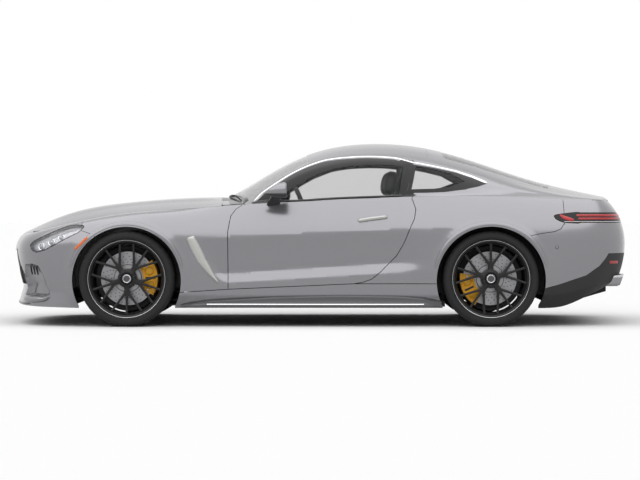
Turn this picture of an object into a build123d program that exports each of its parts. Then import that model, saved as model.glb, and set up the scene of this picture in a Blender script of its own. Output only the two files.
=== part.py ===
"""A two-door grand touring coupe: body panels, glass, cabin, engine block, suspension and wheels.

Frame: millimetres, +Z up, nose towards -X, origin on the ground under the middle of the body's box.
"""

import os
from functools import lru_cache
from math import atan2, cos, degrees, hypot, radians, sin

from build123d import *

# Overall sizes
LENGTH = 4728.0
WHEELBASE = 2700.0
FRONT_OVERHANG = 931.0
ROOF_HEIGHT = 1380.0
FLOOR_HEIGHT = 135.0
SILL_HEIGHT = 235.0
SILL_TUCK = 60.0

NOSE_X = -LENGTH / 2
TAIL_X = LENGTH / 2
FRONT_AXLE_X = NOSE_X + FRONT_OVERHANG
REAR_AXLE_X = FRONT_AXLE_X + WHEELBASE

# Walls and gaps
SKIN = 14.0
ROOF_SKIN = 24.0
LAMP_DEPTH = 60.0
GLASS = 6.0
TRIM = 10.0
PANEL_GAP = 6.0
DOOR_FRONT_GAP = 9.0
HOOD_REAR_GAP = 12.0
SEAM = 0.4
DOOR_TAPER = 0.00014

# Wheels and tyres
TYRE_RADIUS = 355.0
TYRE_WIDTH_FRONT = 295.0
TYRE_WIDTH_REAR = 305.0
FLANGE_RADIUS = 288.0
FLANGE = 8.0
FLANGE_SET_IN = 22.0
BEAD_RADIUS = 268.0
RIM_WALL = 14.0
WHEEL_Y = 822.0
ARCH_RADIUS = 402.0
ARCH_DROP = 15.0
WELL_RADIUS = 430.0
WELL_LIP_Y = 900.0
WELL_INNER_Y = 478.0
REAR_WELL_INNER_Y = 640.0
LINER = 5.0
HUB_RADIUS = 84.0
SPINDLE_RADIUS = 32.0
RUNNING_CLEARANCE = 0.05
DISC_RADIUS = 200.0
DISC_THICKNESS = 34.0
DISC_BACK = -32.0
HUB_BACK = 5.0
SPINDLE_END = 60.0
STEER_Y = 742.0
KINGPIN_RADIUS = 14.0
KINGPIN_REACH = 165.0
UPRIGHT_RADIUS = 40.0
UPRIGHT_HALF = 95.0
ARM_WIDTH = 50.0
ARM_DEPTH = 30.0
ARM_OFFSET = 145.0
EYE_RADIUS = 30.0
CALIPER_INNER, CALIPER_OUTER = 118.0, 228.0
CALIPER_BACK, CALIPER_FRONT = -58.0, 44.0
CALIPER_SPAN = 70.0
CALIPER_CLEARANCE = 6.0
FRONT_CALIPER_ANGLE, REAR_CALIPER_ANGLE = 2.0, 205.0
PRONG_SPREAD = 25.0
PRONG_ROOT = 96.0
PRONG_WIDTH = 21.0
PRONG_DEPTH = 36.0
FRONT_ARM_ANGLE, REAR_ARM_ANGLE = -90.0, 90.0
SPOKE_ARMS = 5

# Cabin and bays
CABIN_HALF_WIDTH = 738.0
FIREWALL_X = FRONT_AXLE_X + 603.0
FIREWALL = 25.0
PLENUM_X = FRONT_AXLE_X + 860.0
PLENUM_HEIGHT = 790.0
BULKHEAD_X = REAR_AXLE_X - 330.0
BOOT_HALF_WIDTH = 600.0
BOOT_FLOOR = 450.0
FLOOR_TOP = 185.0
FLOOR_PLATE = 45.0
TUNNEL_HALF_WIDTH = 130.0
TUNNEL_TOP = 330.0
RAIL_INNER_Y, RAIL_OUTER_Y = 370.0, 440.0
RAIL_LOW, RAIL_HIGH = 300.0, 410.0
SUBFRAME_LOW, SUBFRAME_HIGH = 190.0, 290.0
SUBFRAME_HALF = 200.0
POST_HALF = 60.0
ENGINE_HALF_WIDTH = 330.0
ENGINE_LOW, ENGINE_HIGH = 220.0, 800.0
ENGINE_MOUNT_X = (FRONT_AXLE_X + 120.0, FRONT_AXLE_X + 220.0)
SEAT_X, SEAT_Y = FRONT_AXLE_X + 1440.0, 370.0
SEAT_HALF_WIDTH = 235.0
SEAT_LOW, SEAT_HIGH = 300.0, 450.0
HEADREST_HALF_WIDTH = 120.0
REAR_SEAT_Y = (-560.0, -160.0)
REAR_SEAT_HIGH = 430.0
REAR_SEAT_BACK_HIGH = 860.0
CONSOLE_HEIGHT = 170.0
STEERING_X, STEERING_Z = FRONT_AXLE_X + 1310.0, 890.0
STEERING_RADIUS = 182.0
STEERING_GRIP = 16.0
STEERING_TILT = 24.0

# Hinges
PIN_RADIUS = 6.0
KNUCKLE_RADIUS = 12.0
HINGE_WIDTH = 30.0
HINGE_DIP = 95.0
HINGE_LEG = 16.0
HINGE_REACH = 40.0
HINGE_PLATE = 10.0
HINGE_PLAY = 2.0
DOOR_HINGE_X = FRONT_AXLE_X + 669.0
DOOR_HINGE_Y = 908.0
DOOR_HINGE_HEIGHTS = (400.0, 680.0)
HOOD_HINGE_X = FRONT_AXLE_X + 810.0
HOOD_HINGE_Z = 897.0
HOOD_HINGE_Y = 620.0
TAILGATE_HINGE_X = REAR_AXLE_X - 531.0
TAILGATE_HINGE_Z = 1308.0
TAILGATE_HINGE_Y = 170.0

# Body sections. Columns: x, half width at sill, at waist, waist height, half width and height at shoulder,
# centre height
LOWER_SECTIONS = [
    (NOSE_X - 90, 880, 895, 450, 650, 575, 606),
    (FRONT_AXLE_X - 517, 925, 948, 570, 705, 722, 838),
    (FRONT_AXLE_X, 950, 985, 640, 762, 838, 928),
    (FRONT_AXLE_X + 433, 938, 962, 640, 800, 872, 958),
    (FRONT_AXLE_X + 860, 932, 944, 640, 838, 908, 962),
    (FRONT_AXLE_X + 1633, 938, 946, 640, 850, 946, 965),
    (REAR_AXLE_X - 560, 945, 958, 640, 850, 968, 985),
    (REAR_AXLE_X, 955, 990, 640, 842, 966, 1000),
    (REAR_AXLE_X + 560, 925, 956, 640, 800, 946, 985),
    (TAIL_X + 90, 830, 868, 640, 700, 880, 925),
]
# Cabin sections. Columns: x, half width and height at belt, half width and height at rail, centre height
UPPER_SECTIONS = [
    (FRONT_AXLE_X + 660, 800, 760, 780, 775, 922),
    (FRONT_AXLE_X + 930, 806, 918, 796, 930, 1084),
    (FRONT_AXLE_X + 1180, 836, 932, 718, 1102, 1226),
    (FRONT_AXLE_X + 1460, 842, 945, 648, 1218, 1332),
    (FRONT_AXLE_X + 1860, 842, 962, 622, 1262, ROOF_HEIGHT),
    (REAR_AXLE_X - 470, 836, 978, 606, 1232, 1350),
    (REAR_AXLE_X, 780, 985, 566, 1130, 1222),
    (REAR_AXLE_X + 400, 735, 960, 560, 1018, 1092),
    (REAR_AXLE_X + 923, 690, 880, 570, 930, 970),
]
UPPER_BASE_DROP = 130.0
SIDE_BULGE = 14.0
# Nose and tail in plan: flat half width and its set-back, corner half width and its set-back
NOSE_PLAN = (690.0, 130.0, 985.0, 640.0)
TAIL_PLAN = (700.0, 95.0, 985.0, 620.0)
# Nose and tail in side view, upwards. Columns: set-back from the end, height
WIDE = 1400.0
HIGH = 1700.0
NOSE_PROFILE = [
    (60, 0), (60, 137), (25, 150), (28, 178), (65, 283), (0, 471), (0, 597), (40, 668), (40, HIGH),
]
TAIL_PROFILE = [
    (700, 0), (700, 120), (560, 150), (170, 285), (75, 330), (50, 545), (0, 560), (0, 640),
    (10, 700), (94, 870), (174, 962), (174, HIGH),
]
PROFILE_RAMP_TOP = 400.0

# Panel splits
FRONT_SEAM_X = FRONT_AXLE_X - 327.0
REAR_SEAM_X = REAR_AXLE_X + 523.0
BOOT_END_X = REAR_AXLE_X + 900.0
FENDER_LOW = 250.0
HOOD_FRONT_X = NOSE_X + 85.0
# Hood edge in plan. Columns: x, half width
HOOD_SIDE = [(NOSE_X + 165, 520), (FRONT_AXLE_X - 517, 690), (FRONT_AXLE_X, 748), (FRONT_AXLE_X + 433, 786),
             (FRONT_AXLE_X + 755, 812)]
HOOD_REAR_X = FRONT_AXLE_X + 700.0
COWL_END_X = FRONT_AXLE_X + 860.0
# Door edge in side view from the belt at the front, round the front, the bottom and the rear
DOOR_OUTLINE = [
    (FRONT_AXLE_X + 863, 1150), (FRONT_AXLE_X + 863, 915),
    ((FRONT_AXLE_X + 770, 820), (FRONT_AXLE_X + 749, 700)),
    (FRONT_AXLE_X + 752, 278), (REAR_AXLE_X - 1015, 319),
    ((REAR_AXLE_X - 950, 330), (REAR_AXLE_X - 884, 353)),
    ((REAR_AXLE_X - 700, 525), (REAR_AXLE_X - 600, 730)),
    ((REAR_AXLE_X - 556, 870), (REAR_AXLE_X - 618, 990)), (REAR_AXLE_X - 618, 1150),
]
DOOR_OUTLINE_Y = 965.0
GLASS_INNER_Y = 300.0
DOOR_MIDDLE = ((DOOR_OUTLINE[3][0] + DOOR_OUTLINE[-1][0]) / 2, 700.0)
# Top of the sills in side view: its ends at the wheels, and the door's lower edge between them
SILL_LINE = [
    (FRONT_AXLE_X + 300, 249), DOOR_OUTLINE[3], DOOR_OUTLINE[4], (REAR_AXLE_X - 300, DOOR_OUTLINE[4][1]),
]
# Door glass and quarter window in side view
DOOR_GLASS = [
    (FRONT_AXLE_X + 930, 880), (FRONT_AXLE_X + 930, 915),
    ((FRONT_AXLE_X + 1146, 1080), (FRONT_AXLE_X + 1466, 1226)),
    ((FRONT_AXLE_X + 1818, 1256), (REAR_AXLE_X - 600, 1212)),
    (REAR_AXLE_X - 660, 970), (REAR_AXLE_X - 660, 880),
]
QUARTER_GLASS = [
    (REAR_AXLE_X - 612, 990), (REAR_AXLE_X - 552, 1205),
    ((REAR_AXLE_X - 240, 1150), (REAR_AXLE_X - 8, 1062)),
    ((REAR_AXLE_X - 180, 1014), (REAR_AXLE_X - 330, 1000)),
]
# Windscreen, tailgate and rear window in plan: front half width, front x, middle of the front edge, rear
WINDSCREEN = [
    (FRONT_AXLE_X + 835, -735), ((FRONT_AXLE_X + 715, 0), (FRONT_AXLE_X + 835, 735)),
    (FRONT_AXLE_X + 1345, 570), ((FRONT_AXLE_X + 1325, 0), (FRONT_AXLE_X + 1345, -570)),
]
TAILGATE = [
    (REAR_AXLE_X - 447, -490), (REAR_AXLE_X - 447, 490), (REAR_AXLE_X + 400, 512), (REAR_AXLE_X + 960, 560),
    (REAR_AXLE_X + 960, -560), (REAR_AXLE_X + 400, -512),
]
REAR_WINDOW = [
    (REAR_AXLE_X - 318, -430), ((REAR_AXLE_X - 335, 0), (REAR_AXLE_X - 318, 430)),
    (REAR_AXLE_X + 470, 445), ((REAR_AXLE_X + 500, 0), (REAR_AXLE_X + 470, -445)),
]
# Lamps and trim in side view
HEADLAMP = [
    (NOSE_X + 190, 592), (NOSE_X + 232, 562), ((NOSE_X + 430, 628), (NOSE_X + 617, 742)),
    ((NOSE_X + 470, 738), (NOSE_X + 300, 676)),
]
HEADLAMP_INNER_Y = 560.0
TAIL_LAMP = [
    (REAR_AXLE_X + 482, 800), (REAR_AXLE_X + 640, 768), (TAIL_X, 768), (TAIL_X, 850),
    (REAR_AXLE_X + 560, 850),
]
TAIL_LAMP_INNER_Y = 380.0
FENDER_VENT = [
    (FRONT_AXLE_X + 453, 641), (FRONT_AXLE_X + 526, 672),
    ((FRONT_AXLE_X + 560, 500), (FRONT_AXLE_X + 692, 323)),
    ((FRONT_AXLE_X + 520, 500), (FRONT_AXLE_X + 453, 641)),
]
SKIRT_END = ARCH_RADIUS + 3.0
SKIRT = [
    (FRONT_AXLE_X + SKIRT_END, 142), (FRONT_AXLE_X + SKIRT_END, 215), (REAR_AXLE_X - SKIRT_END, 225),
    (REAR_AXLE_X - SKIRT_END, 142),
]
DIFFUSER_TOP = 480.0
DIFFUSER = [
    (REAR_AXLE_X + 380, 0), (REAR_AXLE_X + 423, 292), (REAR_AXLE_X + 703, 377),
    (REAR_AXLE_X + 863, DIFFUSER_TOP), (TAIL_X + 50, DIFFUSER_TOP), (TAIL_X + 50, 0),
]
# Openings in the nose in front view: half widths and heights
GRILLE = [(-420, 312), (420, 312), (480, 440), (410, 560), (-410, 560), (-480, 440)]
INTAKE = [(-600, 225), (-800, 245), (-800, 420), (-640, 330)]
GRILLE_DEPTH = 34.0
GRILLE_BARS = 14
GRILLE_BAR = 16.0
GRILLE_RIM = 14.0
EXHAUST_Y = (520.0, 650.0)
EXHAUST_HALF_WIDTH = 52.0
EXHAUST_LOW, EXHAUST_HIGH = 340.0, 410.0
EXHAUST_WALL = 5.0
EXHAUST_FRONT_X, EXHAUST_END_X = TAIL_X - 360.0, TAIL_X - 130.0
MIRROR_X = (FRONT_AXLE_X + 1025.0, FRONT_AXLE_X + 1190.0)
MIRROR_Y = (880.0, 1048.0)
MIRROR_Z = (972.0, 1066.0)
MIRROR_ROUND = 30.0
MIRROR_FOOT_X = (MIRROR_X[0] + 50.0, MIRROR_X[0] + 110.0)
MIRROR_FOOT_LOW = 860.0


def grown(face, amount):
    """A face grown or drawn in along its outline."""
    return offset(face, amount=amount, kind=Kind.INTERSECTION).faces()[0] if amount else face


def outline(plane, start, *moves):
    """A closed face on a plane. A move is an end point, or a pair of via point and end point for an arc."""
    here, edges = start, []
    for move in moves:
        if isinstance(move[0], tuple):
            via, end = move
            edges.append(Edge.make_three_point_arc(*(plane.from_local_coords(p) for p in (here, via, end))))
        else:
            end = move
            edges.append(Edge.make_line(plane.from_local_coords(here), plane.from_local_coords(end)))
        here = end
    if hypot(here[0] - start[0], here[1] - start[1]) > 1e-6:
        edges.append(Edge.make_line(plane.from_local_coords(here), plane.from_local_coords(start)))
    return Face(Wire(edges))


def side_prism(y_low, y_high, points, grow=0.0):
    """A prism with a side-view outline, between two widths."""
    face = grown(outline(Plane.XZ.offset(-y_low), *points), grow)
    return Solid.extrude(face, Vector(0, y_high - y_low, 0))


def plan_prism(z_low, z_high, points, grow=0.0):
    """A prism with a plan-view outline, between two heights."""
    face = grown(outline(Plane.XY.offset(z_low), *points), grow)
    return Solid.extrude(face, Vector(0, 0, z_high - z_low))


def front_prism(x_low, x_high, points, grow=0.0):
    """A prism with a front-view outline, between two lengths."""
    face = grown(outline(Plane.YZ.offset(x_low), *points), grow)
    return Solid.extrude(face, Vector(x_high - x_low, 0, 0))


def box(x, y, z):
    """A box from three (low, high) pairs."""
    centre = [(low + high) / 2 for low, high in (x, y, z)]
    return Pos(*centre) * Box(x[1] - x[0], y[1] - y[0], z[1] - z[0])


def rod(start, end, radius):
    """A round bar between two points."""
    a, b = Vector(*start), Vector(*end)
    along = (Align.CENTER, Align.CENTER, Align.MIN)
    return Plane(origin=a, z_dir=b - a) * Cylinder(radius, (b - a).length, align=along)


def right_side(shape):
    """The mirror of a left piece."""
    return mirror(shape, Plane.XZ)


def both_sides(shape):
    """A left piece and its mirror on the right."""
    return shape + right_side(shape)


def corner_arc(y_from, z_from, y_to, z_to):
    """The middle point of the arc that leaves the first point upright and ends at the second."""
    depth, rise = y_from - y_to, z_to - z_from
    radius = (depth**2 + rise**2) / (2 * depth)
    half = atan2(rise, radius - depth) / 2
    return y_from - radius + radius * cos(half), z_from + radius * sin(half)


def section_wire(x, foot, sides, centre_z):
    """A closed section at x: a foot point, side moves up to the shoulder, and an arc over the centre."""
    plane = Plane(origin=(x, 0, 0), x_dir=(0, 1, 0), z_dir=(1, 0, 0))
    ends = [foot] + [move[1] if isinstance(move[0], tuple) else move for move in sides]
    moves = list(sides)
    moves.append(((0.0, centre_z), (-ends[-1][0], ends[-1][1])))
    for move, end in zip(reversed(sides), reversed(ends[:-1])):
        end = (-end[0], end[1])
        moves.append(((-move[0][0], move[0][1]), end) if isinstance(move[0], tuple) else end)
    return outline(plane, foot, *moves).outer_wire()


def lower_loft(inset):
    """The lower body as one loft through its sections, drawn in by an inset."""
    wires = []
    for x, sill, waist, waist_z, shoulder, shoulder_z, centre_z in LOWER_SECTIONS:
        sill, waist, shoulder = sill - inset, waist - inset, shoulder - inset
        shoulder_z, centre_z = shoulder_z - inset, centre_z - inset
        low_y, low_rise = corner_arc(waist, 0.0, sill, waist_z - SILL_HEIGHT)
        high_via = corner_arc(waist, waist_z, shoulder, shoulder_z)
        sides = [
            (sill, SILL_HEIGHT),
            ((low_y, waist_z - low_rise), (waist, waist_z)),
            (high_via, (shoulder, shoulder_z)),
        ]
        wires.append(section_wire(x, (sill - SILL_TUCK, FLOOR_HEIGHT + inset), sides, centre_z))
    return Solid.make_loft(wires)


def end_curve(end_x, inward, plan, inset):
    """Half of a nose or tail outline in plan, on the left, from the corner to the middle."""
    flat_y, flat_x, corner_y, corner_x = plan
    flat_y, corner_y = flat_y - inset / 2, corner_y - inset
    end_x += inward * inset
    via_y, via_run = corner_arc(corner_y, 0.0, flat_y, corner_x - flat_x)
    corner = (end_x + inward * corner_x, -corner_y)
    via = (end_x + inward * (corner_x - via_run), -via_y)
    return corner, via, (end_x + inward * flat_x, -flat_y), (end_x, 0.0)


def other_side(point):
    """The same plan point on the other side."""
    return point[0], -point[1]


@lru_cache
def lower_body(inset=0.0):
    """The lower body: its loft trimmed by the plan and side outlines, drawn in by an inset."""
    corner, via, flat, nose = end_curve(NOSE_X, 1, NOSE_PLAN, inset)
    tail_corner, tail_via, tail_flat, tail = end_curve(TAIL_X, -1, TAIL_PLAN, inset)
    plan = plan_prism(0, HIGH, [
        (corner[0], -WIDE), corner, (via, flat), (nose, other_side(flat)),
        (other_side(via), other_side(corner)), (corner[0], WIDE), (tail_corner[0], WIDE),
        other_side(tail_corner), (other_side(tail_via), other_side(tail_flat)), (tail, tail_flat),
        (tail_via, tail_corner), (tail_corner[0], -WIDE),
    ])
    profile = [(NOSE_X + x + inset, z) for x, z in NOSE_PROFILE]
    for x, z in reversed(TAIL_PROFILE):
        profile.append((TAIL_X - x - inset, z + inset if 0 < z < PROFILE_RAMP_TOP else z))
    return lower_loft(inset) & plan & side_prism(-WIDE, WIDE, profile)


@lru_cache
def upper_body(inset=0.0):
    """The cabin top as one loft from the windscreen's foot to the spoiler, drawn in by an inset."""
    wires = []
    first_x, last_x = UPPER_SECTIONS[0][0], UPPER_SECTIONS[-1][0]
    for x, belt, belt_z, rail, rail_z, centre_z in UPPER_SECTIONS:
        x = x - inset if x in (first_x, last_x) else x
        belt, rail = belt - inset, rail - inset
        belt_z, rail_z, centre_z = belt_z - inset, rail_z - inset, centre_z - inset
        run, rise = belt - rail, rail_z - belt_z
        length = hypot(run, rise)
        bulge = SIDE_BULGE if rise > 4 * SIDE_BULGE else SIDE_BULGE / 10
        via = ((belt + rail) / 2 + bulge * rise / length, (belt_z + rail_z) / 2 + bulge * run / length)
        sides = [(belt, belt_z), (via, (rail, rail_z))]
        wires.append(section_wire(x, (belt, belt_z - UPPER_BASE_DROP), sides, centre_z))
    return Solid.make_loft(wires)


def door_prism(grow=0.0):
    """The left door's outline, drawn in towards the cabin so that the rear edge swings clear."""
    wires = []
    for y in (WIDE, CABIN_HALF_WIDTH - 2 * PANEL_GAP):
        size = 1 + (y - DOOR_OUTLINE_Y) * DOOR_TAPER
        points = [scaled(point, DOOR_MIDDLE, size) for point in DOOR_OUTLINE]
        wires.append(grown(outline(Plane.XZ.offset(y), *points), grow).outer_wire())
    return Solid.make_loft(wires, ruled=True)


def scaled(point, middle, size):
    """An outline's point, or its pair of via point and end point, scaled about a middle."""
    if isinstance(point[0], tuple):
        return tuple(scaled(each, middle, size) for each in point)
    return tuple(centre + (value - centre) * size for value, centre in zip(point, middle))


def hood_prism(grow=0.0):
    """The hood's outline in plan."""
    left = [(x, -y) for x, y in HOOD_SIDE]
    right = [(x, y) for x, y in reversed(HOOD_SIDE)]
    points = left + [((HOOD_REAR_X, 0.0), right[0])] + right[1:] + [((HOOD_FRONT_X, 0.0), left[0])]
    return plan_prism(NOSE_PROFILE[6][1] - 40, HIGH, points, grow)


def arch_cuts(axle_x, inner_y):
    """The wheel opening through the side and the wider well behind it, on both sides."""
    z = TYRE_RADIUS - ARCH_DROP
    lip = rod((axle_x, -WIDE, z), (axle_x, -WELL_LIP_Y, z), ARCH_RADIUS)
    well = rod((axle_x, -WELL_LIP_Y, z), (axle_x, -inner_y, z), WELL_RADIUS)
    return both_sides(lip + well)


def cabin_void():
    """The space of the cabin and the luggage room."""
    cabin = box((FIREWALL_X, BULKHEAD_X), (-CABIN_HALF_WIDTH, CABIN_HALF_WIDTH), (0, HIGH))
    return cabin + box((BULKHEAD_X, BOOT_END_X), (-BOOT_HALF_WIDTH, BOOT_HALF_WIDTH), (0, HIGH))


def sill_prism(grow=0.0):
    """The region of the sills in side view."""
    points = [(SILL_LINE[0][0], 0), *SILL_LINE, (SILL_LINE[-1][0], 0)]
    return side_prism(-WIDE, WIDE, points, grow)


def lamp_prism(points, inner_y, grow=0.0):
    """A lamp's outline in side view, on both sides."""
    return both_sides(side_prism(-WIDE, -inner_y, points, grow))


def surface_trim(points, depth, grow=0.0):
    """A left trim piece of even depth that lies on the lower body inside a side-view outline."""
    layer = lower_body(-depth) & side_prism(-WIDE, -CABIN_HALF_WIDTH, points, grow)
    return layer - lower_body(-SEAM)


def cut(shape, *tools):
    """A shape with several tools taken away."""
    for tool in tools:
        shape = shape - tool
    return shape


def hinge_arm(plane, reach, rise):
    """A goose-neck hinge arm. In its plane, x runs from the axis into the panel and y towards the outside."""
    eye = Cylinder(KNUCKLE_RADIUS, HINGE_WIDTH)
    drop = Pos(0, -HINGE_DIP / 2) * Box(HINGE_LEG, HINGE_DIP, HINGE_WIDTH)
    leg = Pos((reach - HINGE_LEG / 2) / 2, -HINGE_DIP) * Box(reach + HINGE_LEG / 2, HINGE_LEG, HINGE_WIDTH)
    arm = eye + drop + leg
    if rise:
        tall = HINGE_DIP + rise
        arm += Pos(reach - HINGE_LEG / 2, rise - tall / 2) * Box(HINGE_LEG, tall, HINGE_WIDTH)
    return plane * (arm - Cylinder(PIN_RADIUS + RUNNING_CLEARANCE, 2 * HINGE_WIDTH))


def hinge_bracket(plane, x_span, y_span):
    """Two plates and a pin that hold a hinge arm, in the same plane."""
    width, height = x_span[1] - x_span[0], y_span[1] - y_span[0]
    middle = ((x_span[0] + x_span[1]) / 2, (y_span[0] + y_span[1]) / 2)
    offset_z = HINGE_WIDTH / 2 + HINGE_PLAY + HINGE_PLATE / 2
    plates = [Pos(*middle, side * offset_z) * Box(width, height, HINGE_PLATE) for side in (-1, 1)]
    return plane * (plates[0] + plates[1] + Cylinder(PIN_RADIUS, 2 * offset_z))


def door_hinge_planes():
    """The planes of the left door's hinges: x towards the tail, y outwards."""
    return [Plane(origin=(DOOR_HINGE_X, -DOOR_HINGE_Y, z), x_dir=(1, 0, 0), z_dir=(0, 0, -1))
            for z in DOOR_HINGE_HEIGHTS]


def hood_hinge_planes():
    """The planes of the hood's hinges: x towards the nose, y upwards."""
    return [Plane(origin=(HOOD_HINGE_X, y, HOOD_HINGE_Z), x_dir=(-1, 0, 0), z_dir=(0, 1, 0))
            for y in (-HOOD_HINGE_Y, HOOD_HINGE_Y)]


def tailgate_hinge_planes():
    """The planes of the tailgate's hinges: x towards the tail, y upwards."""
    return [Plane(origin=(TAILGATE_HINGE_X, y, TAILGATE_HINGE_Z), x_dir=(1, 0, 0), z_dir=(0, -1, 0))
            for y in (-TAILGATE_HINGE_Y, TAILGATE_HINGE_Y)]


def hood():
    """The hood skin with its two hinge arms."""
    panel = (lower_body() & hood_prism()) - lower_body(SKIN)
    reach = HOOD_HINGE_X - HOOD_REAR_X + 2 * HINGE_LEG + HINGE_REACH - TRIM
    core = lower_body(SKIN / 2)
    for plane in hood_hinge_planes():
        panel += hinge_arm(plane, reach, 60.0) & core
    return panel


def front_bumper():
    """The nose skin with its openings for the grille, the side intakes and the lamps."""
    shell = (lower_body() & box((NOSE_X, FRONT_SEAM_X), (-WIDE, WIDE), (0, HIGH))) - lower_body(SKIN)
    intake = front_prism(NOSE_X - 10, NOSE_X + 420, INTAKE)
    return cut(
        shell, hood_prism(PANEL_GAP), lamp_prism(HEADLAMP, HEADLAMP_INNER_Y, SEAM), both_sides(intake),
        front_prism(NOSE_X - 10, NOSE_X + 160, GRILLE), arch_cuts(FRONT_AXLE_X, WELL_INNER_Y),
    )


def grille():
    """A grille of upright bars behind the nose opening, and a plain mesh plate behind each side intake."""
    layer = lower_body(SKIN + SEAM) - lower_body(GRILLE_DEPTH)
    plate = layer & front_prism(NOSE_X, NOSE_X + 200, GRILLE, GRILLE_RIM)
    span = GRILLE[2][0] - GRILLE_RIM
    pitch = 2 * span / GRILLE_BARS
    opening = front_prism(NOSE_X - 10, NOSE_X + 220, GRILLE, -GRILLE_RIM)
    for slot in range(GRILLE_BARS):
        middle = -span + pitch * (slot + 0.5)
        half = (pitch - GRILLE_BAR) / 2
        plate -= opening & box((NOSE_X - 10, NOSE_X + 220), (middle - half, middle + half), (0, HIGH))
    mesh = layer & front_prism(NOSE_X, NOSE_X + 430, INTAKE, GRILLE_RIM)
    return plate + both_sides(mesh)


def front_fenders():
    """The wings between nose, hood and doors."""
    region = box((FRONT_SEAM_X + SEAM, COWL_END_X), (-WIDE, WIDE), (FENDER_LOW, HIGH))
    shell = (lower_body() & region) - lower_body(SKIN)
    door = door_prism(DOOR_FRONT_GAP)
    return cut(
        shell, hood_prism(PANEL_GAP), cowl_prism(SEAM), both_sides(door), sill_prism(SEAM),
        lamp_prism(HEADLAMP, HEADLAMP_INNER_Y, SEAM), arch_cuts(FRONT_AXLE_X, WELL_INNER_Y),
    )


def cowl_prism(grow=0.0):
    """The region of the cowl panel in plan, from the hood's rear edge to the windscreen's foot."""
    front_x, half = HOOD_REAR_X - 60, HOOD_SIDE[-1][1] - 22
    points = [(front_x, -half), (front_x, half), (COWL_END_X, half), (COWL_END_X, -half)]
    return plan_prism(PLENUM_HEIGHT, HIGH, points, grow)


def cowl_panel():
    """The strip between the hood and the windscreen."""
    strip = (lower_body() & cowl_prism()) - lower_body(SKIN)
    return cut(strip, hood_prism(HOOD_REAR_GAP), both_sides(door_prism(PANEL_GAP)))


def door_left():
    """The left door, as thick as the whole side, with its two hinge arms."""
    inside = box((FIREWALL_X, BULKHEAD_X), (-CABIN_HALF_WIDTH, WIDE), (0, HIGH))
    panel = (lower_body() & door_prism()) - inside
    reach = DOOR_OUTLINE[3][0] - DOOR_HINGE_X + HINGE_REACH
    for plane in door_hinge_planes():
        panel += hinge_arm(plane, reach, 0.0)
    return panel


def quarter_panels():
    """The rear quarters with their wheel wells."""
    region = box((REAR_AXLE_X - 760, REAR_SEAM_X), (-WIDE, WIDE), (0, HIGH))
    half = SUBFRAME_HALF + 2 * TRIM
    half_shafts = box((REAR_AXLE_X - half, REAR_AXLE_X + half), (-WELL_LIP_Y, WELL_LIP_Y), (0, BOOT_FLOOR))
    return cut(
        lower_body() & region, cabin_void(), both_sides(door_prism(PANEL_GAP)), sill_prism(SEAM),
        arch_cuts(REAR_AXLE_X, REAR_WELL_INNER_Y), half_shafts,
        lamp_prism(TAIL_LAMP, TAIL_LAMP_INNER_Y, SEAM), side_prism(-WIDE, WIDE, DIFFUSER, SEAM),
    )


def sills():
    """The sills between the wheels, outside the floor."""
    return cut(
        lower_body() & sill_prism(), box((NOSE_X, TAIL_X), (-CABIN_HALF_WIDTH, CABIN_HALF_WIDTH), (0, HIGH)),
        both_sides(door_prism(PANEL_GAP)), arch_cuts(FRONT_AXLE_X, WELL_INNER_Y),
        arch_cuts(REAR_AXLE_X, REAR_WELL_INNER_Y),
    )


def rear_bumper():
    """The tail skin above the diffuser."""
    region = box((REAR_SEAM_X + SEAM, TAIL_X + 10), (-WIDE, WIDE), (0, HIGH))
    shell = (lower_body() & region) - lower_body(SKIN)
    return cut(
        shell, cabin_void(), side_prism(-WIDE, WIDE, DIFFUSER, SEAM),
        lamp_prism(TAIL_LAMP, TAIL_LAMP_INNER_Y, SEAM),
    )


def rear_diffuser():
    """The dark lower part of the tail with upright fins, behind the rear wheels."""
    shell = (lower_body() & side_prism(-WIDE, WIDE, DIFFUSER)) - lower_body(SKIN)
    ahead = box((0, REAR_AXLE_X + SKIRT_END), (-WIDE, WIDE), (0, HIGH))
    return cut(shell, arch_cuts(REAR_AXLE_X, REAR_WELL_INNER_Y), exhaust_holes(), ahead)


def exhaust_sleeve(grow):
    """Four exhaust openings through the diffuser, as solid bars."""
    bars = None
    for y in EXHAUST_Y:
        half = EXHAUST_HALF_WIDTH + grow
        height = (EXHAUST_LOW - grow, EXHAUST_HIGH + grow)
        bar = box((EXHAUST_FRONT_X, EXHAUST_END_X), (-y - half, -y + half), height)
        bars = bar if bars is None else bars + bar
    return both_sides(bars)


def exhaust_holes():
    """The holes for the exhaust tips."""
    return exhaust_sleeve(SEAM)


def exhaust_tips():
    """Four exhaust tips."""
    return exhaust_sleeve(0.0) - exhaust_sleeve(-EXHAUST_WALL)


def glass_prism(points, grow=0.0):
    """The region of a left side window."""
    return side_prism(-WIDE, -GLASS_INNER_Y, points, grow)


def roof_frame():
    """The roof, pillars and cant rails, with the tailgate's hinge brackets."""
    shell = cut(upper_body(), lower_body(-SEAM), upper_body(ROOF_SKIN))
    doors = door_prism(PANEL_GAP) & lower_body(-PANEL_GAP)
    shell = cut(
        shell, both_sides(doors), plan_prism(0, HIGH, WINDSCREEN, SEAM),
        plan_prism(0, HIGH, TAILGATE, PANEL_GAP), both_sides(glass_prism(DOOR_GLASS, PANEL_GAP)),
        both_sides(glass_prism(QUARTER_GLASS, SEAM)),
    )
    core = upper_body(ROOF_SKIN / 2)
    for plane in tailgate_hinge_planes():
        shell += hinge_bracket(plane, (-40.0, 14.0), (-14.0, 60.0)) & core
    return shell


def windscreen():
    """The windscreen pane."""
    return cut(upper_body() & plan_prism(0, HIGH, WINDSCREEN), upper_body(GLASS), lower_body(-SEAM))


def quarter_windows():
    """The fixed rear side windows."""
    return both_sides(cut(upper_body() & glass_prism(QUARTER_GLASS), upper_body(GLASS), lower_body(-SEAM)))


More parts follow.
